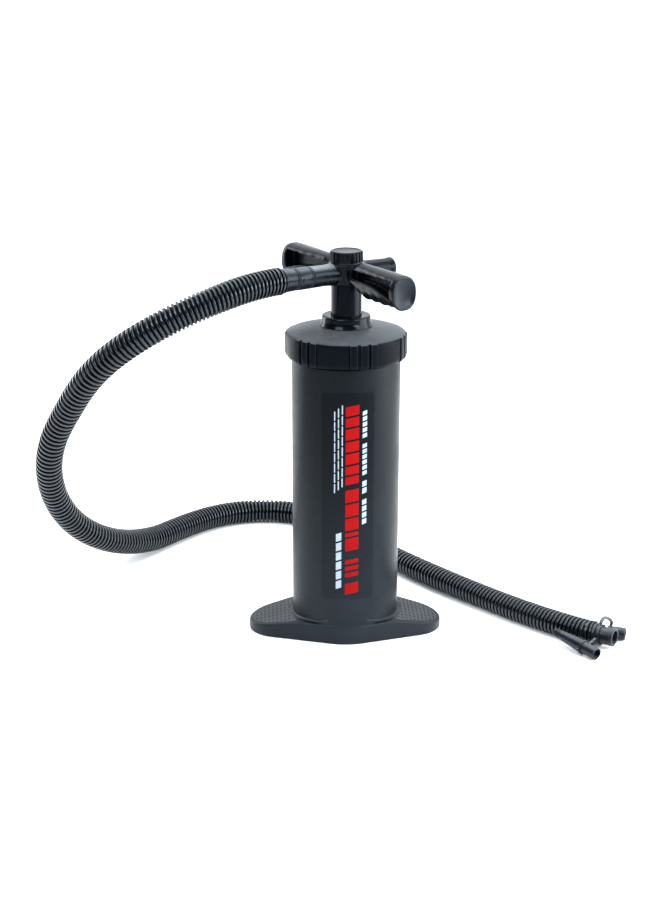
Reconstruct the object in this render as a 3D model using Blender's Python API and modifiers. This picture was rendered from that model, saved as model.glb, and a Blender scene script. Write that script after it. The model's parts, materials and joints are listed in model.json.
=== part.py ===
"""Double action hand pump, modelled in metres with +Z up.

The origin is the centre of the barrel on the surface that the foot stands on. +X runs along the
foot's two treads and +Y points away from the side that the hose leaves by.

A tapered barrel stands on a foot with two treads. A screw cap closes its top and holds the guide
that the piston rod slides in. The rod carries a piston with four flap valves. Air comes in through
the handle's open stub port and the gap between the rod and the air tube inside it, and goes out
through the air tube and the hose, on both strokes.
"""
import math

import bmesh
import bpy
import numpy as np
from mathutils import Matrix, Vector

MM = 0.001
GAP = 0.3  # clearance between neighbouring pieces, mm

# --- driving dimensions, in mm unless the name says otherwise ---------------------------------
TOTAL_HEIGHT = 370.0

BARREL_FOOT_R = 50.1
BARREL_TOP_R = 51.0
BARREL_BORE_R = 47.6
BARREL_SHOULDER_Z = 268.0
BARREL_NECK_R = 50.3
BARREL_RIM_Z = 286.2
BARREL_FLOOR_Z = 9.0
BARREL_FLOOR_THICKNESS = 3.0

FOOT_TIP_R = 30.7
FOOT_TIP_X = 61.5
FOOT_BOSS_R = 50.7
FOOT_TIP_HEIGHT = 9.4
FOOT_SLOPE = 0.19
FOOT_WALL = 3.0
FOOT_SKIN = 2.6
RIB_THICKNESS = 2.0

CAP_R = 56.0
CAP_BAR_R = 57.0
CAP_BOTTOM_Z = 269.5
CAP_RIM_Z = 293.1
CAP_CENTRE_Z = 299.4
CAP_SKIRT_R = 51.5
CAP_HOLE_R = 19.8
CAP_BAR_GROUPS = 6
CAP_BARS_IN_GROUP = 3
CAP_GROUP_START_DEG = -75.3
CAP_BAR_PITCH_DEG = 10.2
CAP_BAR_WIDTH = 6.4

COLLAR_TOP_R = 22.6
COLLAR_FOOT_R = 24.7
COLLAR_TOP_Z = 309.5
COLLAR_BOTTOM_Z = CAP_CENTRE_Z + GAP
GUIDE_STEM_R = CAP_HOLE_R - GAP
GUIDE_BOTTOM_Z = 284.0
SEAL_GROOVE_Z = (287.6, 291.4)
SEAL_GROOVE_R = 17.0

ROD_R = 14.3
ROD_BORE_R = 12.2
ROD_BOTTOM_Z = 28.0
ROD_TOP_Z = 354.6
AIR_TUBE_R = 8.0
AIR_TUBE_BORE_R = 6.6
AIR_TUBE_BOTTOM_Z = 19.0

PISTON_R = 47.2
PISTON_WALL_R = 42.6
PISTON_BOTTOM_Z = 13.0
PISTON_PLATE = 3.0
DIVIDER_Z = (23.3, 25.3)
DIVIDER_R = 42.3
PISTON_UPPER_Z = 25.6
PISTON_TOP_Z = 38.0
PISTON_BOSS_R = 18.0
PISTON_BOSS_TOP_Z = 43.0
RING_GROOVE_Z = (28.0, 33.4)
RING_GROOVE_R = 44.8

VALVE_RADIUS_POSITION = 30.0
VALVE_HOLE_R = 7.0
VALVE_PILLAR_R = 10.0
FLAP_R = 9.5
FLAP_THICKNESS = 1.2
SCREW_POSITION = 36.0
SCREW_HEAD_R = 3.4
SCREW_HEAD_HEIGHT = 1.9
SCREW_SHANK_R = 1.8
SCREW_TOP_Z = 30.0

HANDLE_TURN_DEG = -59.3
HUB_R = 17.2
HUB_BOTTOM_Z = 340.0
HUB_TOP_Z = 358.4
HUB_SOCKET_TOP_Z = 355.4
HUB_VENT_R = 9.3
PORT_Z = 348.9
SOCKET_R = 10.1
SOCKET_END = 40.7
SOCKET_BORE_R = 8.0
SOCKET_BORE_START = 24.0
PASSAGE_R = 5.0
STUB_END = 50.0
STUB_END_R = 9.2

GRIP_END = 94.3
GRIP_TOP_Z = 362.3
GRIP_BOTTOM_Z = 332.2
GRIP_END_BOTTOM_Z = 330.6
GRIP_END_HALF_WIDTH = 13.0
GRIP_ROOT_HALF_WIDTH = 9.5
FINGER_PITCH = 14.0
FINGER_DEPTH = 1.0
WEB_HALF_THICKNESS = 2.6
POCKET_START = 21.5
POCKET_END = 87.5

KNOB_R = 15.4
KNOB_BOTTOM_Z = 360.0
KNOB_PLUG_R = 9.0
KNOB_PLUG_BOTTOM_Z = 355.9

CONNECTOR_BORE_R = 5.8
SPIGOT_R = 7.7
SPIGOT_START = 24.6
NECK_R = 8.6
LOCK_RING = (41.1, 57.2)
LOCK_RING_R = 10.5
CUFF_START = 57.5
CUFF_END = 71.0

HOSE_R = 12.0
HOSE_BORE_R = 9.8
HOSE_FLOOR_Z = 12.2
HOSE_SPACING = 17.0
HOSE_SPLIT_POINT = 15
HOSE_END_STRAIGHT = 5.0
# The hose's centreline, mm. It leaves the port level, swings out and down, meets the floor behind
# and to the left of the foot, and lies round the back to its open end at the front right.
HOSE_ROUTE = (
    (-85.1, -50.5, 348.2),
    (-113.7, -65.5, 341.0),
    (-143.0, -73.3, 330.5),
    (-171.1, -75.2, 317.0),
    (-198.0, -70.1, 300.0),
    (-222.5, -58.1, 279.0),
    (-242.8, -40.3, 253.5),
    (-258.9, -17.7, 224.0),
    (-275.8, 7.9, 190.0),
    (-284.2, 36.2, 152.0),
    (-282.8, 68.2, 113.0),
    (-268.8, 103.7, 73.5),
    (-244.7, 141.8, 43.5),
    (-218.8, 183.8, 23.5),
    (-192.2, 224.9, HOSE_FLOOR_Z + 1.2),
    (-164.6, 262.0, HOSE_FLOOR_Z),
    (-129.3, 299.5, HOSE_FLOOR_Z),
    (-87.7, 317.5, HOSE_FLOOR_Z),
    (-46.0, 312.5, HOSE_FLOOR_Z),
    (-11.0, 285.5, HOSE_FLOOR_Z),
    (13.5, 244.5, HOSE_FLOOR_Z),
    (35.8, 199.0, HOSE_FLOOR_Z),
    (59.3, 157.0, HOSE_FLOOR_Z),
    (85.7, 116.7, HOSE_FLOOR_Z),
    (111.3, 79.6, HOSE_FLOOR_Z),
    (137.9, 43.5, HOSE_FLOOR_Z),
    (164.5, 9.4, HOSE_FLOOR_Z),
    (192.3, -22.2, HOSE_FLOOR_Z),
    (212.4, -43.0, HOSE_FLOOR_Z),
)
HOSE_END = (233.8, -59.8, HOSE_FLOOR_Z)
FITTING_HEADING_DEG = -33.3
FITTING_LENGTH = 20.5
FITTING_R = 8.75
FITTING_BORE_R = 6.6
TETHER_RING = (3.4, 7.6)
TETHER_RING_R = 10.3
STRAP_R = 1.2

CONE_TIP = (197.0, -52.9, 12.0)
CONE_END = (230.3, -96.3, 6.0)
CONE_STRAP_END = (229.4, -75.8, 10.6)
SHORT_START = (249.0, -42.6, 6.6)
SHORT_END = (265.5, -48.1, 6.6)
SHORT_STRAP_END = (252.0, -44.0, 14.0)

# --- colours: (red, green, blue), roughness, metallic ------------------------------------------
FINISHES = {
    "barrel_plastic": ((0.135, 0.150, 0.165), 0.42, 0.0),
    "cap_plastic": ((0.120, 0.135, 0.150), 0.50, 0.0),
    "guide_plastic": ((0.055, 0.065, 0.080), 0.22, 0.0),
    "rod_plastic": ((0.040, 0.048, 0.062), 0.18, 0.0),
    "handle_plastic": ((0.150, 0.165, 0.185), 0.34, 0.0),
    "piston_plastic": ((0.300, 0.310, 0.320), 0.45, 0.0),
    "rubber": ((0.020, 0.020, 0.022), 0.70, 0.0),
    "screw_steel": ((0.560, 0.560, 0.570), 0.30, 1.0),
    "hose_plastic": ((0.130, 0.145, 0.160), 0.38, 0.0),
    "fitting_plastic": ((0.170, 0.185, 0.205), 0.36, 0.0),
    "strap_plastic": ((0.420, 0.440, 0.450), 0.40, 0.0),
}


# --- scene and collections ---------------------------------------------------------------------
def clear_scene():
    for old in list(bpy.data.objects):
        bpy.data.objects.remove(old, do_unlink=True)


def make_collection(name):
    found = bpy.data.collections.new(name)
    bpy.context.scene.collection.children.link(found)
    return found


def make_material(name):
    colour, roughness, metallic = FINISHES[name]
    material = bpy.data.materials.new(name)
    material.use_nodes = True
    shader = material.node_tree.nodes["Principled BSDF"]
    shader.inputs["Base Color"].default_value = (*colour, 1.0)
    shader.inputs["Roughness"].default_value = roughness
    shader.inputs["Metallic"].default_value = metallic
    return material


clear_scene()
PARTS = make_collection("double_action_hand_pump")
CUTTERS = make_collection("cutters")
MATERIALS = {name: make_material(name) for name in FINISHES}
AXES = {}


def axis_empty(name, location=(0.0, 0.0, 0.0)):
    """An empty on a joint's axis, which the pieces that move with that joint are parented to."""
    empty = bpy.data.objects.new(name, None)
    empty.empty_display_size = 0.02
    empty.location = Vector(location) * MM
    PARTS.objects.link(empty)
    AXES[name] = empty
    return empty


def add_object(name, data, matrix=None, collection=None):
    thing = bpy.data.objects.new(name, data)
    (collection or CUTTERS).objects.link(thing)
    if matrix is not None:
        thing.matrix_world = matrix
    if collection is None:
        thing.hide_render = True
        thing.display_type = "WIRE"
    return thing


def finish_part(thing, name, material, axis=None):
    """Names a piece, gives it its material, moves it to the parts and parents it to its axis."""
    thing.name = name
    thing.data.name = name
    thing.data.materials.clear()
    thing.data.materials.append(MATERIALS[material])
    for holder in list(thing.users_collection):
        holder.objects.unlink(thing)
    PARTS.objects.link(thing)
    thing.hide_render = False
    thing.display_type = "TEXTURED"
    if axis:
        bpy.context.view_layer.update()
        placed = thing.matrix_world.copy()
        thing.parent = AXES[axis]
        thing.matrix_parent_inverse = AXES[axis].matrix_world.inverted()
        thing.matrix_world = placed
    return thing


# --- shapes ------------------------------------------------------------------------------------
def along(origin, direction):
    """The placement of a turned shape whose own Z runs along direction from origin (mm)."""
    turn = Vector(direction).normalized().to_track_quat("Z", "Y").to_matrix().to_4x4()
    return Matrix.Translation(Vector(origin) * MM) @ turn


def turned(name, profile, segments=48, matrix=None, closed=False):
    """A profile of (radius, height) in mm, run down its outer side, turned about the own Z axis.

    An open profile starts and ends on the axis. A closed one is the section of a ring."""
    mesh = bpy.data.meshes.new(name)
    points = [(radius * MM, 0.0, height * MM) for radius, height in profile]
    edges = [(i, i + 1) for i in range(len(points) - 1)]
    if closed:
        edges.append((len(points) - 1, 0))
    mesh.from_pydata(points, edges, [])
    thing = add_object(name, mesh, matrix)
    screw = thing.modifiers.new("turn", "SCREW")
    screw.angle = math.tau
    screw.steps = segments
    screw.render_steps = segments
    screw.use_merge_vertices = True
    screw.merge_threshold = 0.00001
    screw.use_smooth_shade = True
    return thing


def cylinder(name, radius, low, high, segments=32, matrix=None):
    profile = [(0.0, high), (radius, high), (radius, low), (0.0, low)]
    return turned(name, profile, segments, matrix)


def ring(name, outer, inner, low, high, segments=48, matrix=None):
    profile = [(outer, high), (outer, low), (inner, low), (inner, high)]
    return turned(name, profile, segments, matrix, closed=True)


def box(name, size, centre, matrix=None):
    """A box of that size about that centre, both in mm, in the frame that matrix gives."""
    mesh = bpy.data.meshes.new(name)
    form = bmesh.new()
    bmesh.ops.create_cube(form, size=1.0)
    place = Matrix.Translation(Vector(centre) * MM) @ Matrix.Diagonal((*(Vector(size) * MM), 1.0))
    bmesh.ops.transform(form, matrix=place, verts=form.verts)
    form.to_mesh(mesh)
    form.free()
    return add_object(name, mesh, matrix)


def mesh_of_curve(curve_object):
    """The mesh of a curve, with its loose caps welded on, in the curve's place."""
    bpy.context.view_layer.update()
    evaluated = curve_object.evaluated_get(bpy.context.evaluated_depsgraph_get())
    mesh = bpy.data.meshes.new_from_object(evaluated)
    form = bmesh.new()
    form.from_mesh(mesh)
    bmesh.ops.remove_doubles(form, verts=form.verts, dist=0.000001)
    bmesh.ops.recalc_face_normals(form, faces=form.faces)
    form.to_mesh(mesh)
    form.free()
    thing = add_object(curve_object.name, mesh, curve_object.matrix_world.copy())
    bpy.data.objects.remove(curve_object, do_unlink=True)
    return thing


def plate(name, outline, low, high, matrix=None):
    """A flat outline of (x, y) points in mm, from low to high along its own Z."""
    curve = bpy.data.curves.new(name, "CURVE")
    curve.dimensions = "2D"
    curve.fill_mode = "BOTH"
    curve.extrude = 0.5 * (high - low) * MM
    spline = curve.splines.new("POLY")
    spline.points.add(len(outline) - 1)
    for point, (x, y) in zip(spline.points, outline):
        point.co = (x * MM, y * MM, 0.0, 1.0)
    spline.use_cyclic_u = True
    lift = Matrix.Translation((0.0, 0.0, 0.5 * (low + high) * MM))
    curve_object = add_object(name, curve, (matrix or Matrix.Identity(4)) @ lift)
    return mesh_of_curve(curve_object)


def smooth_points(route, spacing):
    """Points at about that spacing along the natural cubic spline through the route's points."""
    knots = np.array(route, float)
    steps = np.linalg.norm(np.diff(knots, axis=0), axis=1)
    at = np.concatenate([[0.0], np.cumsum(steps)])
    count = len(knots)
    system = np.zeros((count, count))
    right = np.zeros((count, 3))
    system[0, 0] = 1.0
    system[-1, -1] = 1.0
    for i in range(1, count - 1):
        system[i, i - 1] = steps[i - 1]
        system[i, i] = 2.0 * (steps[i - 1] + steps[i])
        system[i, i + 1] = steps[i]
        rise = (knots[i + 1] - knots[i]) / steps[i] - (knots[i] - knots[i - 1]) / steps[i - 1]
        right[i] = 6.0 * rise
    bend = np.linalg.solve(system, right)
    found = []
    for distance in np.linspace(0.0, at[-1], int(round(at[-1] / spacing)) + 1):
        i = min(int(np.searchsorted(at, distance, side="right")) - 1, count - 2)
        h = steps[i]
        u = (at[i + 1] - distance) / h
        v = (distance - at[i]) / h
        curve = (u**3 - u) * bend[i] + (v**3 - v) * bend[i + 1]
        found.append(u * knots[i] + v * knots[i + 1] + curve * h * h / 6.0)
    return found


def tube(name, points, radius, resolution):
    """A round solid along points in mm, as a curve object with filled caps."""
    curve = bpy.data.curves.new(name, "CURVE")
    curve.dimensions = "3D"
    curve.bevel_depth = radius * MM
    curve.bevel_resolution = resolution
    curve.use_fill_caps = True
    spline = curve.splines.new("POLY")
    spline.points.add(len(points) - 1)
    for point, co in zip(spline.points, points):
        point.co = (*(Vector(co) * MM), 1.0)
    return add_object(name, curve)


def loft(name, sections, matrix=None):
    """A closed skin over rings of points that match one to one, with its two ends filled."""
    form = bmesh.new()
    rings = [[form.verts.new(Vector(co) * MM) for co in section] for section in sections]
    count = len(rings[0])
    for first, second in zip(rings, rings[1:]):
        for i in range(count):
            j = (i + 1) % count
            form.faces.new((first[i], first[j], second[j], second[i]))
    form.faces.new(rings[0])
    form.faces.new(rings[-1])
    bmesh.ops.recalc_face_normals(form, faces=form.faces)
    mesh = bpy.data.meshes.new(name)
    form.to_mesh(mesh)
    form.free()
    return add_object(name, mesh, matrix)


def combine(target, others, operation):
    """One Boolean of all the others on target: UNION, DIFFERENCE or INTERSECT."""
    step = target.modifiers.new(operation.lower(), "BOOLEAN")
    step.operation = operation
    step.solver = "EXACT"
    if len(others) == 1:
        step.object = others[0]
        return target
    group = bpy.data.collections.new(f"{target.name}_{operation.lower()}")
    CUTTERS.children.link(group)
    for other in others:
        CUTTERS.objects.unlink(other)
        group.objects.link(other)
    step.operand_type = "COLLECTION"
    step.collection = group
    return target


def cut(target, *cutters):
    return combine(target, cutters, "DIFFERENCE")


def join(target, *others):
    return combine(target, others, "UNION")


def polar(radius, angle_deg):
    angle = math.radians(angle_deg)
    return radius * math.cos(angle), radius * math.sin(angle)


# --- barrel and foot -----------------------------------------------------------------------------
def foot_outline(inset):
    """The line round the barrel's circle and the two rounded tips, drawn in by inset."""
    boss = FOOT_BOSS_R - inset
    tip = FOOT_TIP_R - inset
    lean = math.degrees(math.acos((boss - tip) / FOOT_TIP_X))
    outline = []
    for start, end, radius, centre, steps in (
        (-lean, lean, tip, FOOT_TIP_X, 14),
        (lean, 180.0 - lean, boss, 0.0, 8),
        (180.0 - lean, 180.0 + lean, tip, -FOOT_TIP_X, 14),
        (180.0 + lean, 360.0 - lean, boss, 0.0, 8),
    ):
        for k in range(steps + 1):
            x, y = polar(radius, start + (end - start) * k / steps)
            outline.append((x + centre, y))
    return outline


def foot_solid(name, inset, drop, bottom):
    """The foot's block, drawn in by inset and lowered by drop, with both treads sloping down."""
    half_length = FOOT_TIP_X + FOOT_TIP_R
    ridge_x = BARREL_FOOT_R - 6.0
    ridge_z = FOOT_TIP_HEIGHT + FOOT_SLOPE * (half_length - ridge_x) - drop
    edge_x = half_length + 10.0
    edge_z = FOOT_TIP_HEIGHT - FOOT_SLOPE * (edge_x - half_length) - drop
    roof = [(-edge_x, edge_z), (-ridge_x, ridge_z), (ridge_x, ridge_z), (edge_x, edge_z)]
    roof += [(edge_x, bottom), (-edge_x, bottom)]
    upright = Matrix.Rotation(math.radians(90.0), 4, "X")
    block = plate(name, foot_outline(inset), bottom - 5.0, ridge_z + 5.0)
    wedge = plate(name + "_roof", roof, -80.0, 80.0, upright)
    return combine(block, [wedge], "INTERSECT")


def foot_ribs():
    """Stiffening ribs under both treads: one along the foot and two across each tread."""
    half_length = FOOT_TIP_X + FOOT_TIP_R
    ribs = box("ribs", (2.0 * half_length, RIB_THICKNESS, 30.0), (0.0, 0.0, 10.0))
    size = (RIB_THICKNESS, 110.0, 30.0)
    across = [box(f"rib_across_{x:.0f}", size, (x, 0.0, 10.0)) for x in (-75.0, -60.0, 60.0, 75.0)]
    join(ribs, *across)
    combine(ribs, [foot_solid("rib_limits", 1.2, 1.2, 1.0)], "INTERSECT")
    return cut(ribs, cylinder("rib_barrel_clear", BARREL_FOOT_R - 1.2, -5.0, 40.0, 64))


def make_barrel():
    """The housing: the tapered barrel, its floor and the foot, moulded in one."""
    foot = foot_solid("foot", 0.0, 0.0, 0.0)
    cut(foot, foot_solid("foot_hollow", FOOT_WALL, FOOT_SKIN, -3.0))
    bottom_r = BARREL_FOOT_R
    shoulder_r = BARREL_TOP_R
    under_floor = BARREL_FLOOR_Z - BARREL_FLOOR_THICKNESS
    profile = [
        (0.0, BARREL_FLOOR_Z),
        (BARREL_BORE_R, BARREL_FLOOR_Z),
        (BARREL_BORE_R, BARREL_RIM_Z),
        (BARREL_NECK_R, BARREL_RIM_Z),
        (BARREL_NECK_R, BARREL_SHOULDER_Z + 0.7),
        (shoulder_r, BARREL_SHOULDER_Z),
        (bottom_r, 0.0),
        (BARREL_BORE_R - 0.4, 0.0),
        (BARREL_BORE_R - 0.4, under_floor),
        (0.0, under_floor),
    ]
    clear = cylinder("foot_barrel_clear", BARREL_FOOT_R - 1.0, -5.0, 60.0, 80)
    tube_wall = turned("barrel_wall", profile, 80)
    cut(foot, clear)
    join(foot, foot_ribs(), tube_wall)
    finish_part(foot, "barrel", "barrel_plastic")


# --- screw cap, guide and seals --------------------------------------------------------------------
def make_cap():
    """The screw cap: a skirt over the barrel's neck and a top that rises to the rod guide."""
    profile = [
        (CAP_HOLE_R, CAP_CENTRE_Z),
        (COLLAR_FOOT_R + 1.5, CAP_CENTRE_Z),
        (42.0, 296.6),
        (CAP_R - 1.0, CAP_RIM_Z),
        (CAP_R, CAP_RIM_Z - 1.0),
        (CAP_R, CAP_BOTTOM_Z + 3.0),
        (CAP_R - 2.4, CAP_BOTTOM_Z),
        (CAP_SKIRT_R, CAP_BOTTOM_Z),
        (CAP_SKIRT_R, BARREL_RIM_Z + 3.1),
        (BARREL_BORE_R - 2.0, BARREL_RIM_Z + 3.1),
        (CAP_HOLE_R, CAP_CENTRE_Z - 3.4),
    ]
    cap = turned("cap", profile, 72, closed=True)
    bar_height = CAP_RIM_Z - CAP_BOTTOM_Z - 3.2
    bar_middle = 0.5 * (CAP_RIM_Z + CAP_BOTTOM_Z) + 0.2
    depth = 3.0
    bars = []
    for group in range(CAP_BAR_GROUPS):
        for bar in range(CAP_BARS_IN_GROUP):
            angle = CAP_GROUP_START_DEG + 60.0 * group + CAP_BAR_PITCH_DEG * (bar - 1)
            turn = Matrix.Rotation(math.radians(angle), 4, "Z")
            centre = (CAP_BAR_R - 0.5 * depth, 0.0, bar_middle)
            size = (depth, CAP_BAR_WIDTH, bar_height)
            bars.append(box(f"cap_bar_{group}_{bar}", size, centre, turn))
    join(cap, *bars)
    finish_part(cap, "screw_cap", "cap_plastic", "cap_axis")


def make_guide():
    """The rod guide: a collar that stands on the cap, with a stem and a groove for the rod seal."""
    bore = ROD_R + GAP
    low, high = SEAL_GROOVE_Z
    profile = [
        (COLLAR_TOP_R - 0.8, COLLAR_TOP_Z),
        (COLLAR_TOP_R, COLLAR_TOP_Z - 0.8),
        (COLLAR_TOP_R + 0.8, COLLAR_BOTTOM_Z + 3.0),
        (COLLAR_FOOT_R, COLLAR_BOTTOM_Z),
        (GUIDE_STEM_R, COLLAR_BOTTOM_Z),
        (GUIDE_STEM_R, GUIDE_BOTTOM_Z),
        (bore, GUIDE_BOTTOM_Z),
        (bore, low),
        (SEAL_GROOVE_R, low),
        (SEAL_GROOVE_R, high),
        (bore, high),
        (bore, COLLAR_TOP_Z),
    ]
    guide = turned("guide", profile, 48, closed=True)
    finish_part(guide, "rod_guide_collar", "guide_plastic", "cap_axis")


def make_cap_seals():
    low, high = SEAL_GROOVE_Z
    seal = ring("seal", SEAL_GROOVE_R - GAP, ROD_R + GAP, low + GAP, high - GAP, 48)
    finish_part(seal, "rod_seal", "rubber", "cap_axis")
    gasket_low = BARREL_RIM_Z + GAP
    gasket = ring("gasket", CAP_SKIRT_R - 0.6, BARREL_BORE_R + 0.6, gasket_low, gasket_low + 2.4, 48)
    finish_part(gasket, "cap_gasket", "rubber", "cap_axis")


# --- rod, air tube and piston ----------------------------------------------------------------------
def handle_frame():
    """The handle's own frame: +X along the front grip, -Y out of the hose port, +Y out of the stub."""
    return Matrix.Rotation(math.radians(HANDLE_TURN_DEG), 4, "Z")


def port_frame(side):
    """A frame on the ports' axis: own Z out of the hose port (side -1) or of the stub (side 1)."""
    outward = handle_frame() @ Vector((0.0, float(side), 0.0))
    return along((0.0, 0.0, PORT_Z), outward)


def make_rod():
    """The outer tube of the rod, with an opening to each port at its top."""
    rod = ring("rod", ROD_R, ROD_BORE_R, ROD_BOTTOM_Z, ROD_TOP_Z, 48)
    spout_hole = cylinder("rod_spout_hole", PASSAGE_R, 2.0, 20.0, 24, port_frame(-1))
    intake_hole = cylinder("rod_intake_hole", PASSAGE_R - 0.3, 2.0, 20.0, 24, port_frame(1))
    cut(rod, spout_hole, intake_hole)
    finish_part(rod, "piston_rod", "rod_plastic", "plunger_axis")


def make_air_tube():
    """The tube inside the rod that takes the air to the hose, with its spout into the hose port."""
    air_tube = cylinder("air_tube", AIR_TUBE_R, AIR_TUBE_BOTTOM_Z, ROD_TOP_Z, 32)
    spout = cylinder("spout", PASSAGE_R - GAP, 0.0, SOCKET_BORE_START - 0.6, 24, port_frame(-1))
    spout_bore = cylinder("spout_bore", PASSAGE_R - 1.6, 3.0, SOCKET_BORE_START + 5.0, 24, port_frame(-1))
    tube_bore = cylinder("tube_bore", AIR_TUBE_BORE_R, AIR_TUBE_BOTTOM_Z - 5.0, ROD_TOP_Z + 5.0, 32)
    join(air_tube, spout)
    cut(air_tube, tube_bore, spout_bore)
    finish_part(air_tube, "inner_air_tube", "piston_plastic", "plunger_axis")


def at_valve(angle_deg):
    x, y = polar(VALVE_RADIUS_POSITION, angle_deg)
    return Matrix.Translation((x * MM, y * MM, 0.0))


def at_screw(index):
    x, y = polar(SCREW_POSITION, 45.0 + 90.0 * index)
    return Matrix.Translation((x * MM, y * MM, 0.0))


# Where each valve's passage stands on the piston, as an angle from +X.
DELIVERY_BOTTOM, DELIVERY_TOP, INTAKE_BOTTOM, INTAKE_TOP = 0.0, 90.0, 180.0, 270.0


def piston_holes(owner, low, high, valve_angles, screw_high):
    """Cutters for a shell's valve passages and its four screw holes."""
    cutters = []
    for angle in valve_angles:
        cutters.append(cylinder(f"{owner}_valve_{angle:.0f}", VALVE_HOLE_R, low, high, 20, at_valve(angle)))
    for index in range(4):
        radius = SCREW_SHANK_R + GAP
        cutters.append(cylinder(f"{owner}_screw_{index}", radius, low, screw_high, 12, at_screw(index)))
    return cutters


def make_piston():
    """Two shells and the divider between them: intake room above it, delivery room below it."""
    floor_top = PISTON_BOTTOM_Z + PISTON_PLATE
    lower_top = DIVIDER_Z[0] - GAP
    lower_profile = [
        (0.0, floor_top),
        (PISTON_WALL_R, floor_top),
        (PISTON_WALL_R, lower_top),
        (PISTON_R, lower_top),
        (PISTON_R, PISTON_BOTTOM_Z),
        (0.0, PISTON_BOTTOM_Z),
    ]
    lower = turned("lower", lower_profile, 48)
    pillar_place = at_valve(INTAKE_BOTTOM)
    pillar = cylinder("lower_pillar", VALVE_PILLAR_R, floor_top - 1.0, lower_top, 32, pillar_place)
    join(lower, pillar)
    cut(lower, *piston_holes("lower", 5.0, 30.0, (INTAKE_BOTTOM, DELIVERY_BOTTOM), 30.0))

    divider = cylinder("divider", DIVIDER_R, *DIVIDER_Z, 48)
    centre = cylinder("divider_centre", AIR_TUBE_R + GAP, 15.0, 35.0, 32)
    cut(divider, centre, *piston_holes("divider", 15.0, 35.0, (INTAKE_BOTTOM, DELIVERY_TOP), 35.0))

    ceiling = PISTON_TOP_Z - PISTON_PLATE
    upper_profile = [
        (ROD_R + GAP, PISTON_BOSS_TOP_Z),
        (PISTON_BOSS_R, PISTON_BOSS_TOP_Z),
        (PISTON_BOSS_R, PISTON_TOP_Z),
        (PISTON_R, PISTON_TOP_Z),
        (PISTON_R, RING_GROOVE_Z[1]),
        (RING_GROOVE_R, RING_GROOVE_Z[1]),
        (RING_GROOVE_R, RING_GROOVE_Z[0]),
        (PISTON_R, RING_GROOVE_Z[0]),
        (PISTON_R, PISTON_UPPER_Z),
        (PISTON_WALL_R, PISTON_UPPER_Z),
        (PISTON_WALL_R, ceiling),
        (ROD_R + GAP, ceiling),
    ]
    upper = turned("upper", upper_profile, 48, closed=True)
    pillar_place = at_valve(DELIVERY_TOP)
    posts = [cylinder("upper_pillar", VALVE_PILLAR_R, PISTON_UPPER_Z, ceiling + 1.0, 32, pillar_place)]
    for index in range(4):
        posts.append(cylinder(f"post_{index}", 4.0, PISTON_UPPER_Z, ceiling + 1.0, 16, at_screw(index)))
    join(upper, *posts)
    cut(upper, *piston_holes("upper", 20.0, 50.0, (DELIVERY_TOP, INTAKE_TOP), SCREW_TOP_Z + GAP))

    finish_part(lower, "piston_lower_shell", "piston_plastic", "plunger_axis")
    finish_part(divider, "piston_divider", "piston_plastic", "plunger_axis")
    finish_part(upper, "piston_upper_shell", "piston_plastic", "plunger_axis")


def make_piston_ring():
    low, high = RING_GROOVE_Z
    seal = ring("piston_ring", BARREL_BORE_R - GAP, RING_GROOVE_R + GAP, low + GAP, high - GAP, 48)
    finish_part(seal, "piston_seal_ring", "rubber", "plunger_axis")


def make_piston_screws():
    head_top = PISTON_BOTTOM_Z - GAP
    head_bottom = head_top - SCREW_HEAD_HEIGHT
    profile = [
        (0.0, SCREW_TOP_Z),
        (SCREW_SHANK_R, SCREW_TOP_Z - 1.5),
        (SCREW_SHANK_R, head_top),
        (SCREW_HEAD_R, head_top),
        (SCREW_HEAD_R - 0.5, head_bottom),
        (0.0, head_bottom),
    ]
    for index in range(4):
        screw = turned(f"screw_{index}", profile, 12, at_screw(index))
        finish_part(screw, f"piston_screw_{index + 1}", "screw_steel", "plunger_axis")


def make_flaps():
    """The four flap valves, each a rubber disc resting a hair off its seat."""
    floor_top = PISTON_BOTTOM_Z + PISTON_PLATE
    seats = (
        ("intake_flap_top", INTAKE_TOP, PISTON_TOP_Z + GAP),
        ("intake_flap_bottom", INTAKE_BOTTOM, PISTON_BOTTOM_Z - GAP - FLAP_THICKNESS),
        ("delivery_flap_top", DELIVERY_TOP, DIVIDER_Z[0] - GAP - FLAP_THICKNESS),
        ("delivery_flap_bottom", DELIVERY_BOTTOM, floor_top + GAP),
    )
    for name, angle, low in seats:
        place = at_valve(angle) @ Matrix.Translation((0.0, 0.0, low * MM))
        flap = cylinder(name, FLAP_R, 0.0, FLAP_THICKNESS, 24, place)
        finish_part(flap, name, "rubber", "plunger_axis")


# --- handle ----------------------------------------------------------------------------------------
def grip_section(distance, half_width, low, high, scale=1.0, count=22):
    """One oval ring of the grip at that distance from the hub's axis."""
    middle = 0.5 * (low + high)
    half_height = 0.5 * (high - low)
    points = []
    for k in range(count):
        angle = math.tau * k / count
        side = math.copysign(abs(math.cos(angle)) ** 0.85, math.cos(angle))
        rise = math.copysign(abs(math.sin(angle)) ** 0.85, math.sin(angle))
        points.append((distance, scale * half_width * side, middle + scale * half_height * rise))
    return points


def blend_between(value, low, high):
    share = min(1.0, max(0.0, (value - low) / (high - low)))
    return share * share * (3.0 - 2.0 * share)


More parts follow.
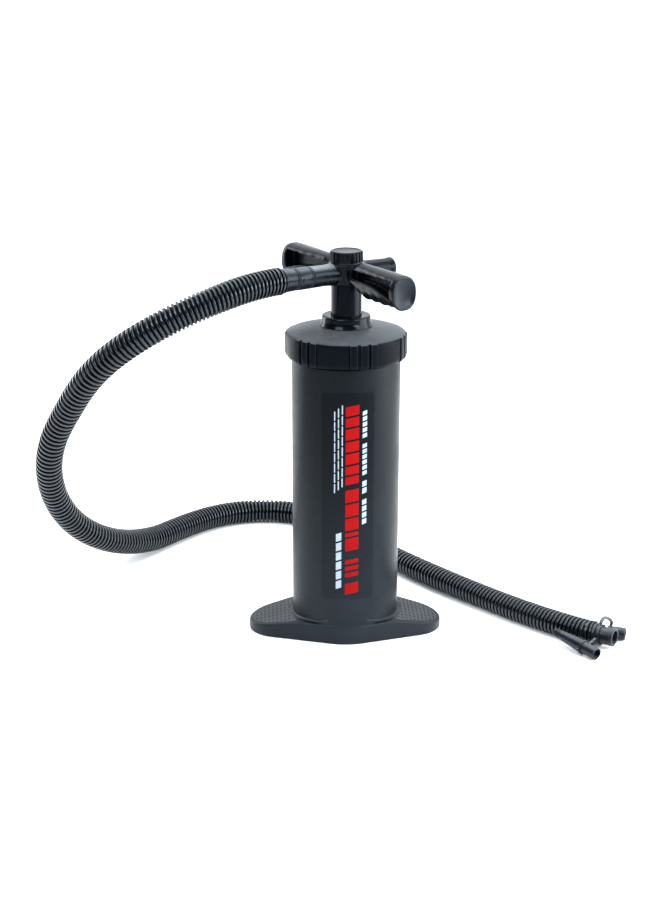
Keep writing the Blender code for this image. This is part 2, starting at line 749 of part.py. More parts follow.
def grip_sections():
    """Rings from inside the hub to the dished end, with finger waves along the underside."""
    rings = []
    for distance in np.arange(4.0, 90.1, 4.3):
        grow = blend_between(distance, 10.0, 84.0)
        half_width = GRIP_ROOT_HALF_WIDTH + (GRIP_END_HALF_WIDTH - GRIP_ROOT_HALF_WIDTH) * grow
        top = GRIP_TOP_Z - 4.4 * (1.0 - blend_between(distance, 16.0, 28.0))
        bottom = GRIP_BOTTOM_Z + 8.5 * (1.0 - blend_between(distance, 12.0, 40.0))
        fingers = blend_between(distance, 22.0, 34.0) * (1.0 - blend_between(distance, 78.0, 86.0))
        bottom += FINGER_DEPTH * fingers * math.cos(math.tau * (distance - 34.0) / FINGER_PITCH)
        rings.append(grip_section(distance, half_width, bottom, top))
    end = (GRIP_END_HALF_WIDTH, GRIP_END_BOTTOM_Z, GRIP_TOP_Z - 0.4)
    for distance, scale in (
        (GRIP_END - 1.2, 1.0),
        (GRIP_END, 0.94),
        (GRIP_END, 0.80),
        (GRIP_END - 1.2, 0.62),
        (GRIP_END - 1.8, 0.30),
    ):
        rings.append(grip_section(distance, *end, scale))
    return rings


def pocket_outline():
    """The side pocket of a grip as (distance, height): level above, arched below, open at the end."""
    upper = [(POCKET_START, 356.0), (POCKET_END, 357.4)]
    lower = [
        (POCKET_END, 340.0),
        (76.0, 342.9),
        (68.0, 345.0),
        (60.0, 346.5),
        (44.0, 347.7),
        (30.0, 347.8),
        (POCKET_START, 348.0),
    ]
    return upper + lower


def make_handle():
    """Hub, two grips, the hose socket and the open stub, all one moulding."""
    frame = handle_frame()
    handle = cylinder("handle", HUB_R, HUB_BOTTOM_Z, HUB_TOP_Z, 48, frame)
    facing = (frame, frame @ Matrix.Rotation(math.pi, 4, "Z"))
    grips = [loft(f"grip_{index}", grip_sections(), place) for index, place in enumerate(facing)]
    socket_profile = [
        (0.0, SOCKET_END),
        (SOCKET_R - 0.4, SOCKET_END),
        (SOCKET_R, SOCKET_END - 0.4),
        (SOCKET_R - 0.4, 12.0),
        (SOCKET_R - 0.4, 2.0),
        (0.0, 2.0),
    ]
    stub_profile = [
        (0.0, STUB_END),
        (STUB_END_R, STUB_END),
        (STUB_END_R, STUB_END - 6.0),
        (SOCKET_R - 0.5, 12.0),
        (SOCKET_R - 0.5, 2.0),
        (0.0, 2.0),
    ]
    socket = turned("socket", socket_profile, 40, port_frame(-1))
    stub = turned("stub", stub_profile, 40, port_frame(1))
    join(handle, *grips, socket, stub)
    upright = Matrix.Rotation(math.radians(90.0), 4, "X")
    pockets = []
    for index, place in enumerate(facing):
        for side in (-1, 1):
            low, high = sorted((side * WEB_HALF_THICKNESS, side * 20.0))
            name = f"pocket_{index}_{'left' if side < 0 else 'right'}"
            pockets.append(plate(name, pocket_outline(), low, high, place @ upright))
    cut(handle, *pockets)
    hub_opening = [
        (0.0, HUB_TOP_Z + 8.0),
        (HUB_VENT_R, HUB_TOP_Z + 8.0),
        (HUB_VENT_R, HUB_SOCKET_TOP_Z),
        (ROD_R + GAP, HUB_SOCKET_TOP_Z),
        (ROD_R + GAP, HUB_BOTTOM_Z - 5.0),
        (0.0, HUB_BOTTOM_Z - 5.0),
    ]
    cut(handle, turned("hub_opening", hub_opening, 48, frame))
    for side, end in ((-1, SOCKET_END), (1, STUB_END)):
        port_opening = [
            (0.0, end + 5.0),
            (SOCKET_BORE_R, end + 5.0),
            (SOCKET_BORE_R, SOCKET_BORE_START),
            (PASSAGE_R, SOCKET_BORE_START),
            (PASSAGE_R, 9.0),
            (0.0, 9.0),
        ]
        label = "hose" if side < 0 else "stub"
        cut(handle, turned(f"{label}_opening", port_opening, 28, port_frame(side)))
    finish_part(handle, "handle", "handle_plastic", "plunger_axis")


def make_knob():
    """The knob that screws into the hub's vent, and the washer under it."""
    profile = [
        (0.0, TOTAL_HEIGHT),
        (KNOB_R - 1.6, TOTAL_HEIGHT),
        (KNOB_R, TOTAL_HEIGHT - 1.4),
        (KNOB_R, KNOB_BOTTOM_Z),
        (KNOB_PLUG_R, KNOB_BOTTOM_Z),
        (KNOB_PLUG_R, KNOB_PLUG_BOTTOM_Z),
        (0.0, KNOB_PLUG_BOTTOM_Z),
    ]
    knob = turned("knob", profile, 48)
    finish_part(knob, "top_knob", "handle_plastic", "plunger_axis")
    washer = ring("washer", KNOB_R - 1.4, KNOB_PLUG_R + GAP, HUB_TOP_Z + GAP, KNOB_BOTTOM_Z - GAP, 40)
    finish_part(washer, "knob_washer", "rubber", "plunger_axis")


# --- hose, its connector and its end ------------------------------------------------------------------
def make_connector():
    """The hose's connector: a spigot in the handle's socket, a neck for the lock ring and a cuff."""
    place = port_frame(-1)
    profile = [
        (11.4, CUFF_END),
        (11.2, CUFF_END - 3.0),
        (10.1, CUFF_START + 1.0),
        (9.9, CUFF_START),
        (NECK_R, CUFF_START),
        (NECK_R, SOCKET_END + GAP),
        (SPIGOT_R, SOCKET_END + GAP),
        (SPIGOT_R, SPIGOT_START),
        (CONNECTOR_BORE_R, SPIGOT_START),
        (CONNECTOR_BORE_R, CUFF_END),
    ]
    connector = turned("connector", profile, 32, place, closed=True)
    finish_part(connector, "hose_connector", "fitting_plastic", "plunger_axis")
    lock = ring("lock", LOCK_RING_R, NECK_R + GAP, *LOCK_RING, 40, place)
    lug_size = (2.0, 5.0, 8.0)
    for side in (-1, 1):
        centre = (side * (LOCK_RING_R - 0.1), 0.0, 0.5 * (LOCK_RING[0] + LOCK_RING[1]))
        join(lock, box(f"lock_lug_{side}", lug_size, centre, place))
    finish_part(lock, "hose_lock_ring", "fitting_plastic", "lock_ring_axis")


def make_hose():
    """The hose as two tubes: the riser that moves with the handle, and the run on the floor."""
    outward = port_frame(-1) @ Vector((0.0, 0.0, 1.0)) - port_frame(-1).translation
    start = Vector((0.0, 0.0, PORT_Z)) + outward * (CUFF_END + GAP)
    route = (tuple(start), *HOSE_ROUTE, HOSE_END)
    split = HOSE_SPLIT_POINT
    points = smooth_points(route, HOSE_SPACING)
    heading = Vector((*polar(1.0, FITTING_HEADING_DEG), 0.0))
    points.insert(-1, np.array(Vector(HOSE_END) - heading * HOSE_END_STRAIGHT))
    landing = Vector(route[split])
    nearest = min(range(len(points)), key=lambda i: (Vector(points[i]) - landing).length)
    step = (points[nearest + 1] - points[nearest]) / np.linalg.norm(points[nearest + 1] - points[nearest])
    middle = 0.5 * (points[nearest] + points[nearest + 1])
    riser = [*points[: nearest + 1], middle - 0.5 * GAP * step]
    floor_run = [middle + 0.5 * GAP * step, *points[nearest + 1 :]]
    for name, line, axis in (
        ("hose_riser", riser, "plunger_axis"),
        ("hose_floor_run", floor_run, "turn_axis"),
    ):
        wall = mesh_of_curve(tube(name, line, HOSE_R, 3))
        bore = mesh_of_curve(tube(f"{name}_bore", past_both_ends(line), HOSE_BORE_R, 2))
        finish_part(cut(wall, bore), name, "hose_plastic", axis)


def past_both_ends(line):
    """The line with each of its ends moved 2 mm further out."""
    points = [Vector(point) for point in line]
    first = points[0] + (points[0] - points[1]).normalized() * 2.0
    last = points[-1] + (points[-1] - points[-2]).normalized() * 2.0
    return [first, *points[1:-1], last]


def fitting_frame():
    heading = Vector((*polar(1.0, FITTING_HEADING_DEG), 0.0))
    return along(Vector(HOSE_END) + heading * GAP, heading)


def make_end_fitting():
    """The smooth fitting at the hose's open end, with a collar next to the hose."""
    profile = [
        (FITTING_R - 0.4, FITTING_LENGTH),
        (FITTING_R, FITTING_LENGTH - 0.5),
        (FITTING_R - 0.3, 8.2),
        (FITTING_R, 2.8),
        (10.6, 2.8),
        (10.6, 0.0),
        (FITTING_BORE_R, 0.0),
        (FITTING_BORE_R, FITTING_LENGTH),
    ]
    fitting = turned("fitting", profile, 32, fitting_frame(), closed=True)
    finish_part(fitting, "hose_end_fitting", "fitting_plastic", "turn_axis")
    tether = ring("tether", TETHER_RING_R, FITTING_R + GAP, *TETHER_RING, 32, fitting_frame())
    finish_part(tether, "tether_ring", "fitting_plastic", "turn_axis")


def make_straps():
    """The two straps that tie the adapters to the tether ring."""
    frame = fitting_frame()
    middle = 0.5 * (TETHER_RING[0] + TETHER_RING[1])
    centre = (frame @ Vector((0.0, 0.0, middle * MM))) / MM
    top = centre + Vector((0.0, 0.0, TETHER_RING_R + GAP + STRAP_R))
    across = Vector((*polar(1.0, FITTING_HEADING_DEG - 90.0), 0.0))
    front = centre + across * (TETHER_RING_R + GAP + STRAP_R)
    long_strap = smooth_points(
        (
            tuple(top),
            tuple(top + Vector((2.6, 3.4, 2.6))),
            tuple(top + Vector((7.0, 8.6, 1.8))),
            (SHORT_STRAP_END[0], SHORT_STRAP_END[1] - 3.0, SHORT_STRAP_END[2] + 4.0),
            (SHORT_STRAP_END[0], SHORT_STRAP_END[1], SHORT_STRAP_END[2] + 1.0),
        ),
        2.5,
    )
    short_strap = smooth_points(
        (
            tuple(front),
            tuple(front + Vector((-2.0, -2.6, -0.2))),
            tuple(Vector(CONE_STRAP_END) + Vector((0.6, 1.2, 0.4))),
        ),
        2.0,
    )
    finish_part(tube("long", long_strap, STRAP_R, 2), "short_adapter_strap", "strap_plastic", "turn_axis")
    finish_part(tube("short", short_strap, STRAP_R, 2), "cone_adapter_strap", "strap_plastic", "turn_axis")


def make_adapters():
    """The cone adapter with its ribbed tip, and the short straight one."""
    cone_axis = Vector(CONE_END) - Vector(CONE_TIP)
    length = cone_axis.length
    collar_low = length - 18.4
    collar_high = length - 16.0
    profile = [
        (5.5, length),
        (5.7, length - 0.6),
        (5.7, collar_high),
        (7.0, collar_high),
        (7.0, collar_low),
        (6.2, collar_low),
        (4.4, 9.0),
        (4.6, 8.0),
        (3.9, 0.5),
        (3.5, 0.0),
        (2.4, 0.0),
        (3.0, 9.0),
        (4.4, collar_low),
        (4.4, length),
    ]
    place = along(CONE_TIP, cone_axis)
    cone = turned("cone", profile, 28, place, closed=True)
    tab_reach = 9.6
    tab_root = 6.2
    tab_size = (tab_reach - tab_root, 2.0, collar_high - collar_low - 0.3)
    tab_centre = (-0.5 * (tab_reach + tab_root), 0.0, 0.5 * (collar_low + collar_high))
    join(cone, box("cone_tab", tab_size, tab_centre, place))
    finish_part(cone, "cone_adapter", "fitting_plastic", "cone_adapter_axis")

    short_axis = Vector(SHORT_END) - Vector(SHORT_START)
    length = short_axis.length
    profile = [
        (6.0, length),
        (6.3, length - 0.5),
        (6.3, 4.0),
        (6.5, 4.0),
        (6.5, 0.0),
        (4.7, 0.0),
        (4.7, length),
    ]
    short = turned("short_one", profile, 28, along(SHORT_START, short_axis), closed=True)
    finish_part(short, "short_adapter", "fitting_plastic", "short_adapter_axis")


# --- the whole pump ------------------------------------------------------------------------------------
def make_pump():
    axis_empty("cap_axis")
    axis_empty("turn_axis")
    axis_empty("plunger_axis")
    axis_empty("lock_ring_axis", (0.0, 0.0, PORT_Z))
    axis_empty("cone_adapter_axis", CONE_STRAP_END)
    axis_empty("short_adapter_axis", SHORT_STRAP_END)
    make_barrel()
    make_cap()
    make_guide()
    make_cap_seals()
    make_rod()
    make_air_tube()
    make_piston()
    make_piston_ring()
    make_piston_screws()
    make_flaps()
    make_handle()
    make_knob()
    make_connector()
    make_hose()
    make_end_fitting()
    make_straps()
    make_adapters()
    bpy.context.view_layer.update()


make_pump()
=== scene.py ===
import json
import math

import bmesh
import bpy
import numpy as np
from mathutils import Matrix, Vector


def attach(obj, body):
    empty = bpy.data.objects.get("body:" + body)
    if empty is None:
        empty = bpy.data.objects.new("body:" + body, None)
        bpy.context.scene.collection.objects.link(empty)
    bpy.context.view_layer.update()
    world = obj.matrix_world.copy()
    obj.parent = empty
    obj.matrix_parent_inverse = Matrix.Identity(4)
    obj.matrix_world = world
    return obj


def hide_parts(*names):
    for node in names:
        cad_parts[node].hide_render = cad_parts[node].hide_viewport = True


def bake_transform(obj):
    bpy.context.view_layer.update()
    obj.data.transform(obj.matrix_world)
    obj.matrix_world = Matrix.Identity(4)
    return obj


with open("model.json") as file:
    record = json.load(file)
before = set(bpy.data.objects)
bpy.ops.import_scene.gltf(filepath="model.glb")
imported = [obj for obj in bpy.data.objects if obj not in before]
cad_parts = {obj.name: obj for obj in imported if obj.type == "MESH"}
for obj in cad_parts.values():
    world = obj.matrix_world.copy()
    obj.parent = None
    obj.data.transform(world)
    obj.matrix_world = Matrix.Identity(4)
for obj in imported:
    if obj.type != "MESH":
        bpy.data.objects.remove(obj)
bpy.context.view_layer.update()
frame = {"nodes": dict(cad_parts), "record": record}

MM = 0.001

# --- sizes repeated from the part, in mm ---
TOTAL_HEIGHT = 370.0
HANDLE_TURN_DEG = -59.3
PORT_Z = 348.9
HUB_R = 17.2
HUB_BOTTOM_Z = 340.0
HUB_TOP_Z = 358.4
BARREL_FLOOR_Z = 9.0
BARREL_BORE_R = 47.6
BARREL_RIM_Z = 286.2
CAP_BOTTOM_Z = 269.5
CAP_RIM_Z = 293.1
CAP_CENTRE_Z = 299.4
CUFF_START = 57.5
CUFF_END = 71.0
SOCKET_END = 40.7
GRIP_END = 94.3

# --- the hose and its end ---
# In metres: the stated radius, the height of its centre on the floor, and the points that its
# centre line goes through, as in the part. Relaxing passes then take small waves out of the line.
HOSE_FLOOR_Z = 0.0122
HOSE_RELAX_STEPS = 150
HOSE_LINE_SPACING = 0.002
HOSE_ROUTE = (
    (-0.0851, -0.0505, 0.3482),
    (-0.1137, -0.0655, 0.3410),
    (-0.1430, -0.0733, 0.3305),
    (-0.1711, -0.0752, 0.3170),
    (-0.1980, -0.0701, 0.3000),
    (-0.2225, -0.0581, 0.2790),
    (-0.2428, -0.0403, 0.2535),
    (-0.2589, -0.0177, 0.2240),
    (-0.2758, 0.0079, 0.1900),
    (-0.2842, 0.0362, 0.1520),
    (-0.2828, 0.0682, 0.1130),
    (-0.2688, 0.1037, 0.0735),
    (-0.2447, 0.1418, 0.0435),
    (-0.2188, 0.1838, 0.0235),
    (-0.1922, 0.2249, HOSE_FLOOR_Z + 0.0012),
    (-0.1646, 0.2620, HOSE_FLOOR_Z),
    (-0.1293, 0.2995, HOSE_FLOOR_Z),
    (-0.0877, 0.3175, HOSE_FLOOR_Z),
    (-0.0460, 0.3125, HOSE_FLOOR_Z),
    (-0.0110, 0.2855, HOSE_FLOOR_Z),
    (0.0135, 0.2445, HOSE_FLOOR_Z),
    (0.0358, 0.1990, HOSE_FLOOR_Z),
    (0.0593, 0.1570, HOSE_FLOOR_Z),
    (0.0857, 0.1167, HOSE_FLOOR_Z),
    (0.1113, 0.0796, HOSE_FLOOR_Z),
    (0.1379, 0.0435, HOSE_FLOOR_Z),
    (0.1645, 0.0094, HOSE_FLOOR_Z),
    (0.1923, -0.0222, HOSE_FLOOR_Z),
    (0.2124, -0.0430, HOSE_FLOOR_Z),
)
HOSE_END = (0.2338, -0.0598, HOSE_FLOOR_Z)
# Along the hose, in metres from the cuff: the pitch of its ribs, which are stretched apart where the
# hose hangs, and its outer radius, which is less where it lies pulled out.
RIB_PITCHES = (
    (0.0, 0.0037), (0.10, 0.0041), (0.20, 0.0055), (0.32, 0.0063), (0.50, 0.0059),
    (0.62, 0.0048), (0.70, 0.0042), (0.95, 0.0053), (1.10, 0.0048), (1.25, 0.0043),
)
HOSE_RADII = (
    (0.0, 0.0127), (0.05, 0.0131), (0.60, 0.0131), (0.90, 0.0116), (1.15, 0.0116), (1.25, 0.0119),
)
RIB_DEPTH = 0.0021
ROWS_PER_RIB = 12
FLOOR_GAP = 0.0002
# The groove's share of a pitch, and the reach below which a face counts as in the groove and takes the
# painted groove shade
GROOVE_SHARE = 0.33
GROOVE_SHADE_REACH = 0.6
HOSE_SEGMENTS = 40
# The straight piece at the hose's far end in metres, the gap at each end in mm, and the far end's
# direction
HOSE_STRAIGHT_END = 0.005
HOSE_GAP = 0.3
FITTING_HEADING_DEG = -33.3
# The two ends of each loose adapter, and the end and radius of its strap, in mm
CONE_TIP = (197.0, -52.9, 12.0)
CONE_END = (230.3, -96.3, 6.0)
CONE_STRAP_END = (230.0, -74.6, 11.0)
CONE_STRAP_R = 1.1
SHORT_START = (249.0, -42.6, 6.6)
SHORT_END = (265.5, -48.1, 6.6)
SHORT_STRAP_END = (252.0, -44.0, 15.0)
SHORT_STRAP_R = 1.9
# Where the straps leave the tether ring (mm from its centre), how much thinner they get half way,
# and the spacing of the points along them in metres
STRAP_ROOT_R = 11.8
STRAP_WAIST = 0.12
STRAP_SPACING = 0.0008

# --- the foot and the barrel, in mm ---
FOOT_TIP_R = 30.7
FOOT_TIP_X = 61.5
FOOT_BOSS_R = 50.7
FOOT_TIP_HEIGHT = 9.4
FOOT_SLOPE = 0.19
FOOT_RIDGE_X = 44.0
FOOT_HALF_LENGTH = FOOT_TIP_X + FOOT_TIP_R
TREAD_RISE = 0.28
BARREL_FOOT_R = 50.1
BARREL_GROWTH = 0.9
BARREL_SHOULDER_Z = 268.0
# Turn of the label on the barrel, in degrees
LABEL_TURN_DEG = -2.3

# --- the cap's grip bars: six groups of three ---
CAP_GROUP_DEG = 60.0
CAP_GROUP_TURN_DEG = 75.3
CAP_GROUP_HALF_DEG = 15.2
CAP_BAR_STEP_DEG = 10.2
CAP_BAR_HALF_DEG = 3.7
CAP_BAR_HEIGHT = 1.0
CAP_GROOVE_DEPTH = 1.2
KNOB_RIBS = 22
KNOB_RIB_DEPTH = 1.1

# --- the handle, in mm ---
STUB_END = 50.0
FINGER_PITCH = 14.0
# 1 makes a grip's section an ellipse, and less makes it squarer
GRIP_OVAL_POWER = 0.85
# Distances from the axis and heights of the grips' side pockets
POCKET_DISTANCES = (22.0, 87.0)
POCKET_HEIGHTS = (339.5, 357.7)
POCKET_WIDTH_SHARE = 0.8
END_DISC_DEPTH = 3.2
SOCKET_START = 17.0
SOCKET_MOST_R = 11.5
# Size of the grid on which the handle's edges are softened, in metres
HANDLE_VOXEL = 0.00055

# --- the photograph's view ---
CAMERA_ELEVATION_DEG = 16.826
CAMERA_AZIMUTH_DEG = 2.29
CAMERA_ROLL_DEG = 0.141
CAMERA_DISTANCE = 2.0
CAMERA_TARGET = (-0.01483, 0.00059, 0.17773)
CAMERA_LENS = 115.235

# --- light ---
# Sky strength by direction: the axis, where it starts and is full, and the strength there
SKY_GLOWS = (("Y", -0.05, 0.85, 1.60), ("X", 0.25, 0.90, 0.8), ("Z", 0.35, 1.0, 1.5))
SKY_BASE = 0.10
SKY_COLOUR = (0.90, 0.95, 1.0, 1.0)
LIGHT_COLOUR = (0.93, 0.97, 1.0)
OBJECT_MIDDLE = (0.0, 0.0, 0.18)
HOSE_END_SIDE = (0.0, -0.12, 0.0)
# Name, place and aim in metres, width and height in metres, and power in watts
SOFTBOXES = (
    ("softbox_right", (1.35, -0.15, 0.55), OBJECT_MIDDLE, (1.1, 1.3), 34.0),
    ("softbox_back_left", (-1.25, 0.95, 0.6), OBJECT_MIDDLE, (0.5, 1.3), 13.0),
    ("softbox_top", (0.0, 0.25, 1.6), OBJECT_MIDDLE, (1.4, 1.4), 22.0),
    ("softbox_near", (0.62, -0.62, 0.55), HOSE_END_SIDE, (0.4, 0.4), 7.0),
    ("softbox_front_top", (-0.80, -1.05, 1.40), OBJECT_MIDDLE, (0.9, 0.9), 26.0),
)
FLOOR_SIZE = 60.0
FLOOR_TONE = 0.92

# --- surfaces ---
# Slopes (the normal's rise) over which the painted top light comes in, and the heights over which the painted
# floor reflection on the lowest part fades
TOP_LIGHT_SLOPES = (0.55, 0.95)
FLOOR_GLOW_HEIGHTS = (0.03, 0.22)
# Pointiness over which an edge is paler, partly worn by rubbing and partly a painted highlight, and the scale
# of the broad uneven patches
WEAR_AND_GLINT_POINTINESS = (0.515, 0.60)
PATCH_SCALE = 38.0
GRAIN_BUMP_DISTANCE = 0.0003
COOL_TINT = (0.80, 0.90, 1.0, 1.0)


# --- camera ---
def add_camera():
    """The photograph's view: a long lens, a little above the object and turned a little to its left."""
    elevation = math.radians(CAMERA_ELEVATION_DEG)
    azimuth = math.radians(CAMERA_AZIMUTH_DEG)
    roll = math.radians(CAMERA_ROLL_DEG)
    level = math.cos(elevation)
    forward = Vector((level * math.sin(azimuth), level * math.cos(azimuth), -math.sin(elevation)))
    right = Vector((math.cos(azimuth), -math.sin(azimuth), 0.0))
    up = right.cross(forward)
    rolled_right = right * math.cos(roll) + up * math.sin(roll)
    rolled_up = up * math.cos(roll) - right * math.sin(roll)
    data = bpy.data.cameras.new("camera")
    data.sensor_fit = "HORIZONTAL"
    data.sensor_width = 36.0
    data.lens = CAMERA_LENS
    data.clip_start = 0.05
    data.clip_end = 80.0
    camera = bpy.data.objects.new("camera", data)
    bpy.context.scene.collection.objects.link(camera)
    turn = Matrix((rolled_right, rolled_up, -forward)).transposed().to_4x4()
    camera.matrix_world = Matrix.Translation(Vector(CAMERA_TARGET) - forward * CAMERA_DISTANCE) @ turn
    bpy.context.scene.camera = camera


# --- light and floor ---
def node(tree, kind, **values):
    """A new shader node with those settings."""
    made = tree.nodes.new(kind)
    for name, value in values.items():
        setattr(made, name, value)
    return made


def ramp_range(tree, source, low, high, out_low, out_high):
    """The output of a Map Range node that goes smoothly from out_low to out_high."""
    made = node(tree, "ShaderNodeMapRange", interpolation_type="SMOOTHSTEP")
    for name, value in (("From Min", low), ("From Max", high), ("To Min", out_low), ("To Max", out_high)):
        made.inputs[name].default_value = value
    tree.links.new(source, made.inputs["Value"])
    return made.outputs["Result"]


def math_node(tree, operation, first, second):
    """The output of a Math node on two numbers or outputs."""
    made = node(tree, "ShaderNodeMath", operation=operation)
    for socket, value in zip(made.inputs, (first, second)):
        if isinstance(value, (int, float)):
            socket.default_value = value
        else:
            tree.links.new(value, socket)
    return made.outputs[0]


def add_world():
    """A pale studio: bright behind the object, above it and to its right, dim in front on the left."""
    world = bpy.data.worlds.new("studio")
    bpy.context.scene.world = world
    world.use_nodes = True
    tree = world.node_tree
    tree.nodes.clear()
    direction = node(tree, "ShaderNodeTexCoord").outputs["Generated"]
    parts = node(tree, "ShaderNodeSeparateXYZ")
    tree.links.new(direction, parts.inputs[0])
    strength = SKY_BASE
    for axis, start, full, glow in SKY_GLOWS:
        here = ramp_range(tree, parts.outputs[axis], start, full, 0.0, glow)
        strength = math_node(tree, "ADD", here, strength)
    background = node(tree, "ShaderNodeBackground")
    background.inputs["Color"].default_value = SKY_COLOUR
    tree.links.new(strength, background.inputs["Strength"])
    output = node(tree, "ShaderNodeOutputWorld")
    tree.links.new(background.outputs[0], output.inputs["Surface"])


def add_area_light(name, location, target, size, energy):
    """A softbox of that size at location, aimed at target."""
    data = bpy.data.lights.new(name, "AREA")
    data.shape = "RECTANGLE"
    data.size, data.size_y = size
    data.energy = energy
    data.color = LIGHT_COLOUR
    light = bpy.data.objects.new(name, data)
    bpy.context.scene.collection.objects.link(light)
    light.location = location
    aim = Vector(target) - Vector(location)
    light.rotation_euler = aim.to_track_quat("-Z", "Y").to_euler()


def add_studio():
    """The sky, the softboxes and a plain pale floor."""
    add_world()
    for softbox in SOFTBOXES:
        add_area_light(*softbox)
    bpy.context.scene.view_settings.view_transform = "Standard"
    bpy.ops.mesh.primitive_plane_add(size=FLOOR_SIZE, location=(0.0, 0.0, -FLOOR_GAP))
    floor = bpy.context.object
    floor.name = "floor"
    material = bpy.data.materials.new("floor_pale")
    material.use_nodes = True
    shader = material.node_tree.nodes["Principled BSDF"]
    shader.inputs["Base Color"].default_value = (FLOOR_TONE, FLOOR_TONE, FLOOR_TONE, 1.0)
    shader.inputs["Roughness"].default_value = 0.9
    shader.inputs["Specular IOR Level"].default_value = 0.0
    floor.data.materials.append(material)


# --- materials ---
def mixed(tree, share, first, colour):
    """Mixes a colour output with one fixed colour."""
    mix = node(tree, "ShaderNodeMix", data_type="RGBA")
    tree.links.new(share, mix.inputs["Factor"])
    tree.links.new(first, mix.inputs["A"])
    mix.inputs["B"].default_value = (*colour, 1.0)
    return mix.outputs["Result"]


def plastic(
    name, colour, roughness, grain=900.0, bump=0.05, mottle=0.12, edge_wear_and_glint=0.25, specular=0.24,
    painted_top_light=None, low=None,
):
    """Moulded plastic: fine grain, uneven sheen, slight tone changes, and paler edges, partly worn by rubbing
    and partly a painted highlight.

    The painted top light is the tone of faces that look up, set by how the light falls on them;
    low is the tone of the lowest part of a standing body, a painted reflection of the pale floor.
    """
    material = bpy.data.materials.new(name)
    material.use_nodes = True
    tree = material.node_tree
    shader = tree.nodes["Principled BSDF"]
    place = node(tree, "ShaderNodeTexCoord").outputs["Object"]

    def noise(scale, detail):
        made = node(tree, "ShaderNodeTexNoise")
        made.inputs["Scale"].default_value = scale
        made.inputs["Detail"].default_value = detail
        tree.links.new(place, made.inputs["Vector"])
        return made.outputs["Fac"]

    broad = noise(PATCH_SCALE, 4.0)
    fine = noise(grain, 3.0)
    tone = ramp_range(tree, broad, 0.3, 0.7, 1.0 - mottle, 1.0 + mottle)
    edge = node(tree, "ShaderNodeNewGeometry").outputs["Pointiness"]
    # painted highlight on convex edges, partly also worn by rubbing: they are made paler
    worn_and_glinting = ramp_range(tree, edge, *WEAR_AND_GLINT_POINTINESS, 0.0, edge_wear_and_glint)
    mix = node(tree, "ShaderNodeMix", data_type="RGBA")
    tree.links.new(worn_and_glinting, mix.inputs["Factor"])
    mix.inputs["A"].default_value = (*colour, 1.0)
    mix.inputs["B"].default_value = (*[min(1.0, 2.6 * c + 0.03) for c in colour], 1.0)
    tinted = mix.outputs["Result"]
    # painted reflection of the pale floor: the lowest part of the body takes the low tone
    if low:
        height = node(tree, "ShaderNodeSeparateXYZ")
        tree.links.new(place, height.inputs[0])
        share = ramp_range(tree, height.outputs["Z"], *FLOOR_GLOW_HEIGHTS, 1.0, 0.0)
        tinted = mixed(tree, share, tinted, low)
    # painted top light: faces that look up take their own lighter or darker tone
    if painted_top_light:
        facing = node(tree, "ShaderNodeSeparateXYZ")
        tree.links.new(node(tree, "ShaderNodeNewGeometry").outputs["Normal"], facing.inputs[0])
        share = ramp_range(tree, facing.outputs["Z"], *TOP_LIGHT_SLOPES, 0.0, 1.0)
        tinted = mixed(tree, share, tinted, painted_top_light)
    shade = node(tree, "ShaderNodeVectorMath", operation="SCALE")
    tree.links.new(tinted, shade.inputs[0])
    tree.links.new(tone, shade.inputs["Scale"])
    tree.links.new(shade.outputs[0], shader.inputs["Base Color"])
    sheen = math_node(tree, "ADD", ramp_range(tree, broad, 0.3, 0.7, -0.05, 0.05), roughness)
    grainy = math_node(tree, "ADD", ramp_range(tree, fine, 0.35, 0.65, -0.04, 0.04), sheen)
    tree.links.new(grainy, shader.inputs["Roughness"])
    raise_by = node(tree, "ShaderNodeBump")
    raise_by.inputs["Strength"].default_value = bump
    raise_by.inputs["Distance"].default_value = GRAIN_BUMP_DISTANCE
    tree.links.new(fine, raise_by.inputs["Height"])
    tree.links.new(raise_by.outputs[0], shader.inputs["Normal"])
    shader.inputs["Specular IOR Level"].default_value = specular
    shader.inputs["Specular Tint"].default_value = COOL_TINT
    return material


def steel(name):
    """Plated screw steel with fine turning marks and dull patches."""
    material = plastic(name, (0.56, 0.56, 0.57), 0.30, grain=1400.0, bump=0.08, mottle=0.06, edge_wear_and_glint=0.1)
    material.node_tree.nodes["Principled BSDF"].inputs["Metallic"].default_value = 1.0
    return material


